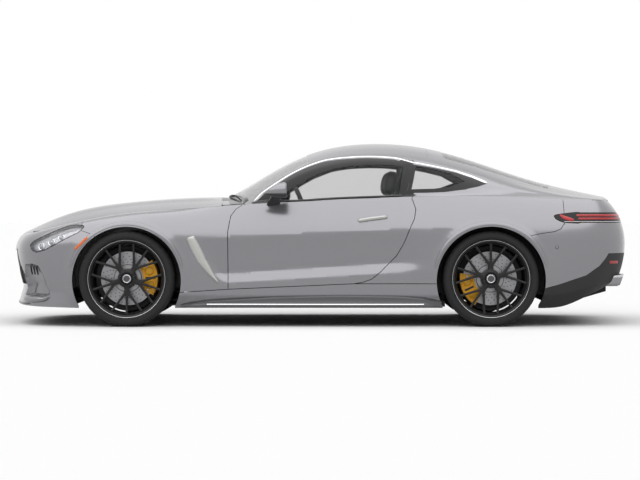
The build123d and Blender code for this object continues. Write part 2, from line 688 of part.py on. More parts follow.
def door_glass_left():
    """The frameless glass of the left door."""
    return cut(upper_body() & glass_prism(DOOR_GLASS), upper_body(GLASS), lower_body(-SEAM))


def tailgate():
    """The tailgate with its spoiler edge and hinge arms, open for the rear window."""
    shell = (upper_body() & plan_prism(0, HIGH, TAILGATE)) - upper_body(ROOF_SKIN)
    shell = cut(shell, lower_body(-PANEL_GAP), plan_prism(0, HIGH, REAR_WINDOW, SEAM))
    reach = TAILGATE[0][0] - TAILGATE_HINGE_X + 2 * HINGE_LEG + HINGE_REACH / 2
    core = upper_body(ROOF_SKIN / 2)
    for plane in tailgate_hinge_planes():
        shell += hinge_arm(plane, reach, 80.0) & core
    return shell


def rear_window():
    """The rear window pane in the tailgate."""
    return (upper_body() & plan_prism(0, HIGH, REAR_WINDOW)) - upper_body(GLASS)


def headlamps():
    """The headlamp units."""
    unit = (lower_body() & lamp_prism(HEADLAMP, HEADLAMP_INNER_Y)) - lower_body(LAMP_DEPTH)
    return unit - hood_prism(PANEL_GAP)


def tail_lamps():
    """The tail lamp units round the corners."""
    return (lower_body() & lamp_prism(TAIL_LAMP, TAIL_LAMP_INNER_Y)) - lower_body(LAMP_DEPTH)


def fender_vents():
    """The blades behind the front wheels."""
    return both_sides(surface_trim(FENDER_VENT, TRIM))


def side_skirts():
    """The blades along the sills."""
    return both_sides(surface_trim(SKIRT, TRIM))


def floor_pan():
    """The floor with its tunnel, the step up behind the seats and the luggage floor."""
    low = FLOOR_TOP - FLOOR_PLATE
    plate = box((FIREWALL_X + FIREWALL, BULKHEAD_X), (-CABIN_HALF_WIDTH, CABIN_HALF_WIDTH), (low, FLOOR_TOP))
    tunnel_y = (-TUNNEL_HALF_WIDTH, TUNNEL_HALF_WIDTH)
    tunnel = box((FIREWALL_X + FIREWALL, BULKHEAD_X), tunnel_y, (FLOOR_TOP, TUNNEL_TOP))
    half = BOOT_HALF_WIDTH - SEAM
    step = box((BULKHEAD_X - FIREWALL, BULKHEAD_X), (-half, half), (low, BOOT_FLOOR))
    boot = box((BULKHEAD_X - FIREWALL, TAIL_X - 120), (-half, half), (BOOT_FLOOR - FIREWALL, BOOT_FLOOR))
    return plate + tunnel + step + boot


def firewall():
    """The wall ahead of the cabin with the plenum shelf, and the hinge brackets of doors and hood."""
    half = CABIN_HALF_WIDTH - SEAM
    wall_z = (FLOOR_TOP - FLOOR_PLATE, PLENUM_HEIGHT)
    wall = box((FIREWALL_X, FIREWALL_X + FIREWALL - SEAM), (-half, half), wall_z)
    post_y = DOOR_HINGE_Y + KNUCKLE_RADIUS
    wing_z = (SILL_LINE[1][1] + 2 * TRIM, DOOR_HINGE_HEIGHTS[-1] + HINGE_REACH)
    wings = box((FIREWALL_X, FIREWALL_X + FIREWALL), (-post_y, post_y), wing_z)
    shelf = box((FIREWALL_X, PLENUM_X), (-half, half), (PLENUM_HEIGHT - FIREWALL, PLENUM_HEIGHT))
    rise = box((PLENUM_X - FIREWALL, PLENUM_X), (-half, half), (PLENUM_HEIGHT - FIREWALL, PLENUM_HEIGHT + 90))
    frame = wall + wings + shelf + rise
    for plane in hood_hinge_planes():
        frame += hinge_bracket(plane, (-20.0, 20.0), (PLENUM_HEIGHT - HOOD_HINGE_Z, KNUCKLE_RADIUS))
    brackets = None
    for plane in door_hinge_planes():
        back = FIREWALL_X + FIREWALL - DOOR_HINGE_X
        bracket = hinge_bracket(plane, (back - 5, KNUCKLE_RADIUS), (-30.0, KNUCKLE_RADIUS))
        brackets = bracket if brackets is None else brackets + bracket
    return frame + both_sides(brackets)


def front_frame():
    """The front rails, cross-members and suspension arms, with the lower cover of the engine bay."""
    rail = box((NOSE_X + 190, FIREWALL_X - SEAM), (-RAIL_OUTER_Y, -RAIL_INNER_Y), (RAIL_LOW, RAIL_HIGH))
    beam = box((NOSE_X + 150, NOSE_X + 200), (-RAIL_OUTER_Y - 150, RAIL_OUTER_Y + 150), (RAIL_LOW, RAIL_HIGH))
    cover_z = (FLOOR_HEIGHT, FLOOR_HEIGHT + SKIN)
    cover = box((FRONT_SEAM_X + SEAM, FIREWALL_X - SEAM), (-RAIL_OUTER_Y, RAIL_OUTER_Y), cover_z)
    post_x = (FRONT_AXLE_X - POST_HALF, FRONT_AXLE_X + POST_HALF)
    post_top = TYRE_RADIUS + ARM_OFFSET + 2 * TRIM
    post = box(post_x, (-RAIL_OUTER_Y, -RAIL_INNER_Y), (FLOOR_HEIGHT, post_top))
    frame = both_sides(rail + post + liner_brackets()) + beam + cover
    bore = KINGPIN_RADIUS + RUNNING_CLEARANCE
    return frame + both_sides(suspension_arms(FRONT_AXLE_X, RAIL_INNER_Y, RAIL_INNER_Y, bore))


def liner_brackets():
    """The left brackets from the front rail to the wheel liner's inner wall."""
    span_y = (-WELL_INNER_Y + LINER + SEAM, -RAIL_OUTER_Y)
    span_z = (RAIL_LOW + 2 * TRIM, RAIL_HIGH - 2 * TRIM)
    front = box((FRONT_AXLE_X - 200, FRONT_AXLE_X - 140), span_y, span_z)
    return front + box((FRONT_AXLE_X + 140, FRONT_AXLE_X + 200), span_y, span_z)


def suspension_arms(axle_x, lower_y, upper_y, bore):
    """The left lower and upper arms of one axle, out from their inner ends to eyes for the kingpin."""
    arms = None
    for offset_z, inner_y in ((-ARM_OFFSET, lower_y), (ARM_OFFSET, upper_y)):
        z = TYRE_RADIUS + offset_z
        half = ARM_DEPTH / 2
        eye = rod((axle_x, -STEER_Y, z - half), (axle_x, -STEER_Y, z + half), EYE_RADIUS)
        bar_x = (axle_x - ARM_WIDTH / 2, axle_x + ARM_WIDTH / 2)
        bar = box(bar_x, (-STEER_Y, -inner_y), (z - half, z + half))
        hole = rod((axle_x, -STEER_Y, z - ARM_DEPTH), (axle_x, -STEER_Y, z + ARM_DEPTH), bore)
        arm = (eye + bar) - hole
        arms = arm if arms is None else arms + arm
    return arms


def wheel_plane(axle_x):
    """The plane of a left wheel: x towards the tail, y up, z outwards."""
    return Plane(origin=(axle_x, -WHEEL_Y, TYRE_RADIUS), x_dir=(1, 0, 0), z_dir=(0, -1, 0))


def upright(axle_x, caliper_angle):
    """A left hub carrier with its spindle, kingpin and caliper bracket."""
    x, y, hub = axle_x, -STEER_Y, TYRE_RADIUS
    pillar = rod((x, y, hub - UPRIGHT_HALF), (x, y, hub + UPRIGHT_HALF), UPRIGHT_RADIUS)
    kingpin = rod((x, y, hub - KINGPIN_REACH), (x, y, hub + KINGPIN_REACH), KINGPIN_RADIUS)
    spindle = rod((x, y, hub), (x, -WHEEL_Y - SPINDLE_END, hub), SPINDLE_RADIUS)
    reach = CALIPER_OUTER - CALIPER_CLEARANCE
    thick = HINGE_LEG
    bracket = Pos(reach / 2, 0, CALIPER_BACK - SEAM - thick / 2) * Box(reach, 2 * UPRIGHT_RADIUS, thick)
    return pillar + kingpin + spindle + wheel_plane(axle_x) * (Rot(0, 0, caliper_angle) * bracket)


def caliper(axle_x, angle):
    """A left brake caliper that reaches over the disc."""
    points = [
        (CALIPER_INNER, CALIPER_BACK), (CALIPER_OUTER, CALIPER_BACK), (CALIPER_OUTER, CALIPER_FRONT),
        (CALIPER_INNER, CALIPER_FRONT),
    ]
    block = revolve(outline(Plane.XZ, *points), axis=Axis.Z, revolution_arc=CALIPER_SPAN)
    slot_height = DISC_THICKNESS + 2 * CALIPER_CLEARANCE
    slot = Pos(0, 0, DISC_BACK + DISC_THICKNESS / 2) * Cylinder(DISC_RADIUS + CALIPER_CLEARANCE, slot_height)
    return wheel_plane(axle_x) * (Rot(0, 0, angle - CALIPER_SPAN / 2) * (block - slot))


def rim(axle_x, width, first_angle):
    """A left wheel: barrel with flanges, hub and three-pronged arms, and its brake disc as another solid."""
    half = width / 2 - FLANGE_SET_IN
    inner = BEAD_RADIUS - RIM_WALL
    profile = [
        (inner, -half), (FLANGE_RADIUS, -half), (FLANGE_RADIUS, -half + FLANGE),
        (BEAD_RADIUS, -half + FLANGE), (BEAD_RADIUS, half - FLANGE), (FLANGE_RADIUS, half - FLANGE),
        (FLANGE_RADIUS, half), (inner, half),
    ]
    wheel = revolve(outline(Plane.XZ, *profile), axis=Axis.Z)
    face = half - 2 * FLANGE
    wheel += Pos(0, 0, (HUB_BACK + face) / 2) * Cylinder(HUB_RADIUS, face - HUB_BACK)
    for arm in range(SPOKE_ARMS):
        angle = first_angle + arm * 360 / SPOKE_ARMS
        root = Vector(PRONG_ROOT, 0).rotate(Axis.Z, angle)
        wheel += prong(Vector(0, 0), root, 2 * PRONG_WIDTH, face)
        for spread in (-PRONG_SPREAD, 0, PRONG_SPREAD):
            tip = Vector(inner + RIM_WALL / 2, 0).rotate(Axis.Z, angle + spread)
            wheel += prong(root, tip, PRONG_WIDTH, face)
    bore_end = SPINDLE_END + HINGE_PLAY
    bore = Cylinder(SPINDLE_RADIUS + RUNNING_CLEARANCE, bore_end - HUB_BACK)
    wheel -= Pos(0, 0, (HUB_BACK + bore_end) / 2) * bore
    ring = Pos(0, 0, DISC_BACK + DISC_THICKNESS / 2) * Cylinder(DISC_RADIUS, DISC_THICKNESS)
    ring -= Pos(0, 0, DISC_BACK + DISC_THICKNESS / 2) * Cylinder(HUB_RADIUS + 2 * TRIM, 2 * DISC_THICKNESS)
    hat_low, hat_high = DISC_BACK + DISC_THICKNESS - TRIM, HUB_BACK - SEAM
    ring += Pos(0, 0, (hat_low + hat_high) / 2) * Cylinder(HUB_RADIUS + 3 * TRIM, hat_high - hat_low)
    ring -= Pos(0, 0, DISC_BACK) * Cylinder(SPINDLE_RADIUS + RUNNING_CLEARANCE, 4 * DISC_THICKNESS)
    return wheel_plane(axle_x) * Compound(children=[*wheel.solids(), *ring.solids()])


def prong(start, end, width, face):
    """A spoke bar in the wheel's plane between two points."""
    along = end - start
    angle = degrees(atan2(along.Y, along.X))
    middle = (start + end) / 2
    bar = Box(along.length, width, PRONG_DEPTH)
    return Pos(middle.X, middle.Y, face - PRONG_DEPTH / 2) * (Rot(0, 0, angle) * bar)


def tyre(axle_x, width):
    """A left tyre with a rounded shoulder."""
    half = width / 2
    seat = half - FLANGE_SET_IN - FLANGE - SEAM
    bead = BEAD_RADIUS + SEAM
    lip = FLANGE_RADIUS + SEAM * 10
    wall = (FLANGE_RADIUS + TYRE_RADIUS) / 2
    tread = half - 24
    outer = [
        (bead, seat), (lip, seat), (lip + 4, half - 8), (wall, half), (TYRE_RADIUS - 12, tread + 8),
        (TYRE_RADIUS - 2, tread - 12),
    ]
    inner = [(radius, -width) for radius, width in outer]
    points = [*inner, (TYRE_RADIUS, 0), *reversed(outer)]
    return wheel_plane(axle_x) * revolve(outline(Plane.XZ, *points), axis=Axis.Z)


def knuckle_left():
    """The left front hub carrier."""
    return upright(FRONT_AXLE_X, FRONT_CALIPER_ANGLE)


def suspension_rear():
    """The rear sub-frame with arms and hub carriers."""
    frame_x = (REAR_AXLE_X - SUBFRAME_HALF, REAR_AXLE_X + SUBFRAME_HALF)
    frame = box(frame_x, (-RAIL_OUTER_Y, RAIL_OUTER_Y), (SUBFRAME_LOW, SUBFRAME_HIGH))
    post_x = (REAR_AXLE_X - POST_HALF, REAR_AXLE_X + POST_HALF)
    post = box(post_x, (-RAIL_OUTER_Y, -RAIL_INNER_Y), (SUBFRAME_LOW, BOOT_FLOOR - FIREWALL))
    arms = suspension_arms(REAR_AXLE_X, RAIL_INNER_Y, REAR_WELL_INNER_Y + SEAM, KINGPIN_RADIUS / 2)
    return frame + both_sides(post + arms + upright(REAR_AXLE_X, REAR_CALIPER_ANGLE))


def calipers_rear():
    """The rear brake calipers."""
    return both_sides(caliper(REAR_AXLE_X, REAR_CALIPER_ANGLE))


def wheel_liners():
    """The arched inner liners of the front wheel wells."""
    z = TYRE_RADIUS - ARCH_DROP
    outer_y, inner_y = -WELL_LIP_Y + SKIN, -WELL_INNER_Y + LINER
    shell = rod((FRONT_AXLE_X, outer_y, z), (FRONT_AXLE_X, inner_y, z), WELL_RADIUS + LINER)
    shell -= rod((FRONT_AXLE_X, -WIDE, z), (FRONT_AXLE_X, -WELL_INNER_Y, z), WELL_RADIUS)
    below = WELL_RADIUS + 2 * LINER
    shell -= box((FRONT_AXLE_X - below, FRONT_AXLE_X + below), (-WIDE, 0), (-WIDE, FENDER_LOW + 3 * TRIM))
    arm_x = (FRONT_AXLE_X - 2 * POST_HALF, FRONT_AXLE_X + 2 * POST_HALF)
    shell -= box(arm_x, (-WELL_INNER_Y - LINER, 0), (0, TYRE_RADIUS + ARM_OFFSET + POST_HALF))
    return both_sides(shell)


def engine_block():
    """The engine and gearbox bell as one plain block, on mounts between the front rails."""
    block_x = (FRONT_AXLE_X - 170, FRONT_AXLE_X + 540)
    block = box(block_x, (-ENGINE_HALF_WIDTH, ENGINE_HALF_WIDTH), (ENGINE_LOW, ENGINE_HIGH))
    reach = RAIL_INNER_Y - SEAM
    return block + box(ENGINE_MOUNT_X, (-reach, reach), (RAIL_LOW + 2 * TRIM, RAIL_HIGH - 2 * TRIM))


def dashboard():
    """The dashboard across the cabin."""
    points = [
        (PLENUM_X + SEAM, 560), (PLENUM_X + SEAM, 872), (PLENUM_X + 140, 905), (PLENUM_X + 300, 890),
        ((PLENUM_X + 345, 840), (PLENUM_X + 320, 760)), (PLENUM_X + 200, 600), (PLENUM_X + 120, 560),
    ]
    half = CABIN_HALF_WIDTH - 2 * TRIM
    return side_prism(-half, half, points)


def steering_wheel():
    """The steering wheel on its column."""
    tilt = radians(STEERING_TILT)
    centre = (STEERING_X, -SEAT_Y, STEERING_Z)
    plane = Plane(origin=centre, x_dir=(0, 1, 0), z_dir=(-cos(tilt), 0, -sin(tilt)))
    ring = Torus(STEERING_RADIUS - STEERING_GRIP, STEERING_GRIP)
    spokes = Box(2 * (STEERING_RADIUS - STEERING_GRIP) - 8, 44, 18) + Pos(0, 0, 10) * Cylinder(60, 40)
    column = Pos(0, 0, 10) * Cylinder(32, 190, align=(Align.CENTER, Align.CENTER, Align.MIN))
    return plane * (ring + spokes + column) - dashboard()


def centre_console():
    """The console over the tunnel."""
    console_x = (PLENUM_X + 200, BULKHEAD_X - 320)
    console_y = (-TUNNEL_HALF_WIDTH, TUNNEL_HALF_WIDTH)
    return box(console_x, console_y, (TUNNEL_TOP, TUNNEL_TOP + CONSOLE_HEIGHT)) - dashboard()


def seat(y):
    """A front seat: base, cushion, back and headrest in one padded body."""
    low, high = y - SEAT_HALF_WIDTH, y + SEAT_HALF_WIDTH
    base = box((SEAT_X + 20, SEAT_X + 440), (low + FIREWALL, high - FIREWALL), (FLOOR_TOP, SEAT_LOW))
    cushion = box((SEAT_X - 60, SEAT_X + 500), (low, high), (SEAT_LOW, SEAT_HIGH))
    rest = SEAT_HIGH - 30
    top = SEAT_HIGH + 520
    back = side_prism(low, high, [
        (SEAT_X + 400, rest), (SEAT_X + 480, top + 15), (SEAT_X + 590, top + 5), (SEAT_X + 540, rest),
    ])
    head = side_prism(y - HEADREST_HALF_WIDTH, y + HEADREST_HALF_WIDTH, [
        (SEAT_X + 480, top), (SEAT_X + 475, top + 150), (SEAT_X + 530, top + 180), (SEAT_X + 580, top + 150),
        (SEAT_X + 588, top),
    ])
    return base + cushion + back + head


def rear_seats():
    """Two small rear seats."""
    cushion = box((BULKHEAD_X - 290, BULKHEAD_X - FIREWALL - SEAM), REAR_SEAT_Y, (FLOOR_TOP, REAR_SEAT_HIGH))
    step_x, step_z = BULKHEAD_X - FIREWALL - 1, BOOT_FLOOR + SEAM
    back = side_prism(*REAR_SEAT_Y, [
        (BULKHEAD_X - 130, REAR_SEAT_HIGH), (BULKHEAD_X - 40, REAR_SEAT_BACK_HIGH),
        (BULKHEAD_X + 40, REAR_SEAT_BACK_HIGH), (BULKHEAD_X + 40, step_z), (step_x, step_z),
        (step_x, REAR_SEAT_HIGH),
    ])
    return both_sides(cushion + back)


def mirror_left():
    """The left door mirror on its foot."""
    housing = box(MIRROR_X, (-MIRROR_Y[1], -MIRROR_Y[0]), MIRROR_Z)
    housing = fillet(housing.edges(), MIRROR_ROUND)
    foot_y = (-MIRROR_Y[0] - 2 * MIRROR_ROUND - TRIM, -MIRROR_Y[0] + MIRROR_ROUND)
    foot = box(MIRROR_FOOT_X, foot_y, (MIRROR_FOOT_LOW, MIRROR_Z[0] + MIRROR_ROUND + TRIM))
    return housing + cut(foot, lower_body(-SEAM))


LEFT_AND_RIGHT = {
    "door": door_left,
    "door_glass": door_glass_left,
    "mirror": mirror_left,
    "knuckle_front": knuckle_left,
    "caliper_front": lambda: caliper(FRONT_AXLE_X, FRONT_CALIPER_ANGLE),
    "rim_front": lambda: rim(FRONT_AXLE_X, TYRE_WIDTH_FRONT, FRONT_ARM_ANGLE),
    "rim_rear": lambda: rim(REAR_AXLE_X, TYRE_WIDTH_REAR, REAR_ARM_ANGLE),
    "tyre_front": lambda: tyre(FRONT_AXLE_X, TYRE_WIDTH_FRONT),
    "tyre_rear": lambda: tyre(REAR_AXLE_X, TYRE_WIDTH_REAR),
    "seat": lambda: seat(-SEAT_Y),
}
SINGLE = [
    hood, front_bumper, grille, front_fenders, cowl_panel, quarter_panels, sills, rear_bumper, rear_diffuser,
    exhaust_tips, roof_frame, windscreen, quarter_windows, tailgate, rear_window, headlamps, tail_lamps,
    fender_vents, side_skirts, floor_pan, firewall, front_frame, suspension_rear, calipers_rear,
    wheel_liners, engine_block, dashboard, steering_wheel, centre_console, rear_seats,
]


def save(name, shape):
    """Write one node."""
    export_step(Compound(children=list(shape.solids())), f"parts/{name}.step")


def main():
    os.makedirs("parts", exist_ok=True)
    for make in SINGLE:
        save(make.__name__, make())
    for name, make in LEFT_AND_RIGHT.items():
        left = make()
        save(f"{name}_left", left)
        save(f"{name}_right", right_side(left))


if __name__ == "__main__":
    main()
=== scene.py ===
"""The looks of a silver two-door grand touring coupe, in the frame of its solids.

Tables are in millimetres, with half widths positive. The car's left side is at negative Y and its nose at
negative X.
"""
import math

import bmesh
import bpy
import numpy as np
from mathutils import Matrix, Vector
from mathutils.geometry import delaunay_2d_cdt


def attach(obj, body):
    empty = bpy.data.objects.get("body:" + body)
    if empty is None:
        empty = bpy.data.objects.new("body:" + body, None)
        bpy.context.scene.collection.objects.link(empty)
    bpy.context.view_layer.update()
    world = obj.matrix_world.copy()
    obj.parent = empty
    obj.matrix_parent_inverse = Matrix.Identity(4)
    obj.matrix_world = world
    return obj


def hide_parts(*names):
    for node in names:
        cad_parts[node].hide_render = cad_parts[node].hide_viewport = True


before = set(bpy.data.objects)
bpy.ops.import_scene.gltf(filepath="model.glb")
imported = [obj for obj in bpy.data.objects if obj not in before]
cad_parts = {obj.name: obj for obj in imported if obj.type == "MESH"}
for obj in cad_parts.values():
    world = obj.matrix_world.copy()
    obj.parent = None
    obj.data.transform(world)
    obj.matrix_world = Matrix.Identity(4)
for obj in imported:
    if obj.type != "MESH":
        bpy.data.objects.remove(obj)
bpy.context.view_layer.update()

MM = 0.001
FRONT_AXLE_X = -1433.0
REAR_AXLE_X = 1267.0
HUB_Z = 355.0
ARCH_RADIUS = 402.0
ARCH_DROP = 15.0
SHUT_GAP = 2.6
SKIN = 12.0
GRID = 26.0
FINE_GRID = 9.0
CUT_STEP = 14.0

# Rows round the left side, from nose centre to tail centre: waist, hood or shoulder edge, sill, lower edge.
PERIMETER = [
    ((-2364, 0, 560), (-2279, 0, 690), (-2299, 0, 283), (-2339, 0, 150)),
    ((-2350, 230, 560), (-2264, 225, 687), (-2288, 225, 283), (-2328, 225, 150)),
    ((-2308, 460, 560), (-2230, 410, 684), (-2250, 450, 283), (-2290, 450, 150)),
    ((-2234, 690, 562), (-2166, 560, 684), (-2180, 668, 278), (-2222, 676, 150)),
    ((-2140, 813, 565), (-2084, 632, 695), (-2095, 776, 268), (-2128, 790, 146)),
    ((-2018, 900, 575), (-1985, 676, 716), (-1992, 862, 258), (-2010, 868, 142)),
    ((-1876, 946, 592), (-1870, 702, 750), (-1866, 915, 247), (-1868, 905, 138)),
    ((-1724, 969, 612), (-1724, 722, 792), (-1724, 936, 238), (-1724, 896, 135)),
    ((-1433, 985, 640), (-1433, 750, 842), (-1433, 950, 235), (-1433, 890, 135)),
    ((-1000, 962, 640), (-1000, 790, 876), (-1000, 938, 235), (-1000, 878, 135)),
    ((-573, 944, 640), (-573, 836, 908), (-573, 932, 235), (-573, 872, 135)),
    ((-200, 942, 640), (-200, 846, 927), (-200, 935, 235), (-200, 875, 135)),
    ((200, 946, 640), (200, 850, 946), (200, 938, 235), (200, 878, 135)),
    ((707, 958, 640), (707, 850, 967), (707, 945, 235), (707, 885, 135)),
    ((1000, 977, 640), (1000, 848, 970), (1000, 951, 235), (1000, 891, 135)),
    ((1267, 989, 640), (1267, 842, 968), (1267, 955, 235), (1267, 895, 135)),
    ((1600, 978, 640), (1600, 822, 957), (1600, 942, 235), (1600, 882, 135)),
    ((1760, 964, 640), (1760, 806, 950), (1760, 928, 240), (1760, 862, 140)),
    ((1906, 938, 640), (1906, 782, 944), (1890, 905, 262), (1880, 840, 172)),
    ((2057, 890, 636), (2026, 742, 940), (2030, 862, 292), (2000, 800, 225)),
    ((2187, 798, 628), (2112, 680, 940), (2140, 768, 312), (2090, 720, 262)),
    ((2269, 690, 620), (2152, 580, 947), (2212, 665, 325), (2145, 640, 285)),
    ((2323, 460, 612), (2176, 400, 956), (2262, 445, 330), (2190, 430, 290)),
    ((2354, 230, 606), (2186, 205, 961), (2282, 222, 330), (2205, 215, 292)),
    ((2364, 0, 604), (2190, 0, 963), (2289, 0, 330), (2210, 0, 292)),
]
# Top of the lower body: station x, edge half width, edge height, centre height.
CROWN = [
    (-2454, 650, 575, 606), (-1950, 705, 722, 838), (-1433, 762, 838, 928), (-1000, 800, 872, 958),
    (-573, 838, 908, 962), (200, 850, 946, 965), (707, 850, 968, 985), (1267, 842, 966, 1000),
    (1827, 800, 946, 985), (2454, 742, 880, 925),
]
# Greenhouse: station x, belt half width, belt height, rail half width, rail height, centre height.
GREENHOUSE = [
    (-773, 800, 760, 780, 775, 922), (-503, 806, 918, 796, 930, 1084), (-253, 836, 932, 718, 1102, 1226),
    (27, 842, 945, 648, 1218, 1332), (427, 842, 962, 622, 1262, 1380), (797, 836, 978, 606, 1232, 1350),
    (1267, 780, 985, 566, 1130, 1222), (1667, 735, 960, 560, 1018, 1092), (2190, 690, 905, 570, 935, 970),
]
GREENHOUSE_END_X = 2186.0
SIDE_BULGE = 14.0

# Side-view and plan outlines, x first.
FRONT_SEAM_X = -1770.0
FRONT_SEAM = [(-1770, 712), (-1672, 680), (-1600, 600), (-1700, 60), (-1770, 60)]
REAR_SEAM_X = 1812.0
REAR_SEAM = [
    (1812, 770), (1784, 725), (1735, 705), (1648, 693), (1515, 667), (1440, 560), (1560, 60), (1812, 60),
]
DOOR = [
    (-570, 1000), (-570, 915), (-625, 872), (-663, 820), (-684, 700), (-681, 278), (252, 319), (317, 330),
    (383, 353), (450, 408), (520, 478), (567, 525), (620, 615), (667, 730), (700, 800), (711, 870),
    (690, 935), (655, 990), (655, 1010),
]
SILL_LINE = [(-1133, 249), (-681, 278), (252, 319), (967, 319)]
HEADLAMP = [
    (-2168, 604), (-2160, 578), (-2143, 560), (-2116, 550), (-2049, 566), (-1921, 633), (-1789, 700),
    (-1750, 738), (-1760, 752), (-1808, 757), (-1864, 750), (-1978, 709), (-2080, 662), (-2140, 632),
]
TAIL_LAMP_SIDE = [(1734, 818), (1746, 800), (1770, 786), (1815, 771), (1910, 766)]
TAIL_LAMP_TOP = [(1910, 850), (1830, 842), (1765, 833), (1742, 828)]
TAIL_LAMP_INNER_Y = 380.0
INTAKE = [
    (-2214, 456), (-2150, 462), (-2100, 448), (-2062, 380), (-2035, 300), (-2012, 236), (-2060, 222),
    (-2140, 222), (-2222, 228), (-2220, 355),
]
SCOOP = [(0.995, 0.0), (0.95, 14.0), (0.88, 30.0), (0.78, 40.0), (0.6, 46.0), (0.35, 49.0), (0.01, 50.0)]
FENDER_BLADE = [(-962, 674), (-950, 640), (-876, 493), (-808, 395), (-748, 320)]
GRILLE_WING = [(420, 304), (640, 308), (690, 342), (612, 450), (490, 572), (440, 572)]
GRILLE = [(0, 312), (450, 312), (545, 440), (470, 560), (0, 560)]
DIFFUSER_LINE = [(1560, 255), (1696, 293), (1850, 338), (1977, 378), (2080, 448), (2130, 505)]
DIFFUSER_TOPS = (540.0, 452.0)
DIFFUSER_STEP_Y = (430.0, 370.0)
PLATE = [(0, 578), (255, 578), (268, 590), (268, 686), (255, 698), (0, 698)]
DOOR_GLASS = [
    (-503, 880), (-503, 915), (-420, 990), (-287, 1080), (-130, 1170), (33, 1228), (221, 1251), (385, 1257),
    (560, 1247), (667, 1214), (622, 1040), (607, 965), (607, 880),
]
QUARTER_GLASS = [
    (650, 992), (668, 1080), (706, 1207), (860, 1182), (1027, 1146), (1150, 1104), (1256, 1062),
    (1190, 1042), (1087, 1018), (937, 1000), (800, 994),
]
QUARTER_CLEAR = [
    (684, 1020), (700, 1085), (724, 1194), (856, 1170), (985, 1138), (1090, 1082), (985, 1042), (850, 1024),
]
DOOR_CLEAR = [
    (-250, 890), (-250, 1000), (-150, 1062), (-53, 1116), (98, 1174), (230, 1196), (385, 1204), (530, 1202),
    (624, 1192), (600, 1040), (588, 965), (588, 890),
]
WINDOW_TRIM = [
    (-500, 930), (-470, 955), (-428, 999), (-292, 1091), (-133, 1180), (33, 1240), (221, 1263), (385, 1269),
    (560, 1259), (690, 1226), (860, 1194), (1027, 1158), (1150, 1117), (1264, 1068),
]
WINDSCREEN = [
    (-598, 735), (-655, 600), (-700, 330), (-718, 0), (-108, 0), (-100, 330), (-88, 570), (-330, 655),
]
TAILGATE = [(820, 0), (820, 490), (1667, 512), (2100, 548), (2300, 560), (2300, 0)]
REAR_WINDOW = [(932, 0), (938, 260), (955, 430), (1737, 445), (1760, 260), (1767, 0)]
HOOD_REAR_X = -733.0
RIDGE_HEIGHT = 9.0
RIDGE_WIDTH = 90.0
ARCH_SWELL = 12.0
SHOULDER_RISE = 9.0
SHOULDER_FADE = 80.0
# Creases of the doors' hollow, top to bottom: height at x = 0, rise per millimetre; then its depth.
DOOR_CREASES = [(690, 0.047), (440, 0.062), (368, 0.062)]
DOOR_HOLLOW = 30.0


class Spline:
    """A natural cubic curve through rows of values at rising stations."""

    def __init__(self, stations, rows):
        u = np.asarray(stations, float)
        v = np.asarray(rows, float).reshape(len(u), -1)
        h = np.diff(u)
        matrix = np.eye(len(u))
        right = np.zeros_like(v)
        for i in range(1, len(u) - 1):
            matrix[i, i - 1:i + 2] = h[i - 1], 2 * (h[i - 1] + h[i]), h[i]
            right[i] = 6 * ((v[i + 1] - v[i]) / h[i] - (v[i] - v[i - 1]) / h[i - 1])
        self.u, self.v, self.m = u, v, np.linalg.solve(matrix, right)

    def __call__(self, x):
        x = np.atleast_1d(np.asarray(x, float))
        i = np.clip(np.searchsorted(self.u, x) - 1, 0, len(self.u) - 2)
        h = (self.u[i + 1] - self.u[i])[:, None]
        before = (self.u[i + 1] - x)[:, None]
        after = (x - self.u[i])[:, None]
        bend = (self.m[i] * before ** 3 + self.m[i + 1] * after ** 3) / (6 * h)
        low = (self.v[i] / h - self.m[i] * h / 6) * before
        high = (self.v[i + 1] / h - self.m[i + 1] * h / 6) * after
        return bend + low + high


def smooth_step(x, low, high):
    t = np.clip((np.asarray(x, float) - low) / (high - low), 0, 1)
    return t * t * (3 - 2 * t)


def bump(x, centre, width):
    return np.exp(-((np.asarray(x, float) - centre) / width) ** 2)


CROWN_CURVE = Spline([row[0] for row in CROWN], [row[1:] for row in CROWN])


def crown_z(x, y):
    """Height of the lower body's top, with the hood's two soft ridges."""
    half, edge_z, centre_z = CROWN_CURVE(x).T
    share = np.abs(y) / half
    hood = smooth_step(x, -2250, -1900) * (1 - smooth_step(x, -900, -700))
    ridge_y = 330 + 0.06 * (np.asarray(x) + 2000)
    ridge = RIDGE_HEIGHT * bump(np.abs(y), ridge_y, RIDGE_WIDTH) * hood
    return centre_z - (centre_z - edge_z) * share ** 2.2 + ridge


def perimeter_curve():
    rows = np.array(PERIMETER, float)
    front = rows[:, 1, 0] < HOOD_REAR_X
    rows[front, 1, 2] = crown_z(rows[front, 1, 0], rows[front, 1, 1])
    step = np.linalg.norm(np.diff(rows[:, 0], axis=0), axis=1)
    stations = np.concatenate([[0], np.cumsum(step)])
    other = rows * np.array([1, -1, 1])
    rows = np.concatenate([other[2:0:-1], rows, other[-2:-4:-1]])
    length = stations[-1]
    ends = [-stations[2], -stations[1]], [2 * length - stations[-2], 2 * length - stations[-3]]
    return Spline(np.concatenate([ends[0], stations, ends[1]]), rows.reshape(len(rows), 12)), length


BODY_CURVE, BODY_LENGTH = perimeter_curve()
BODY_HEIGHTS = np.array([0, 120, 520, 860], float)


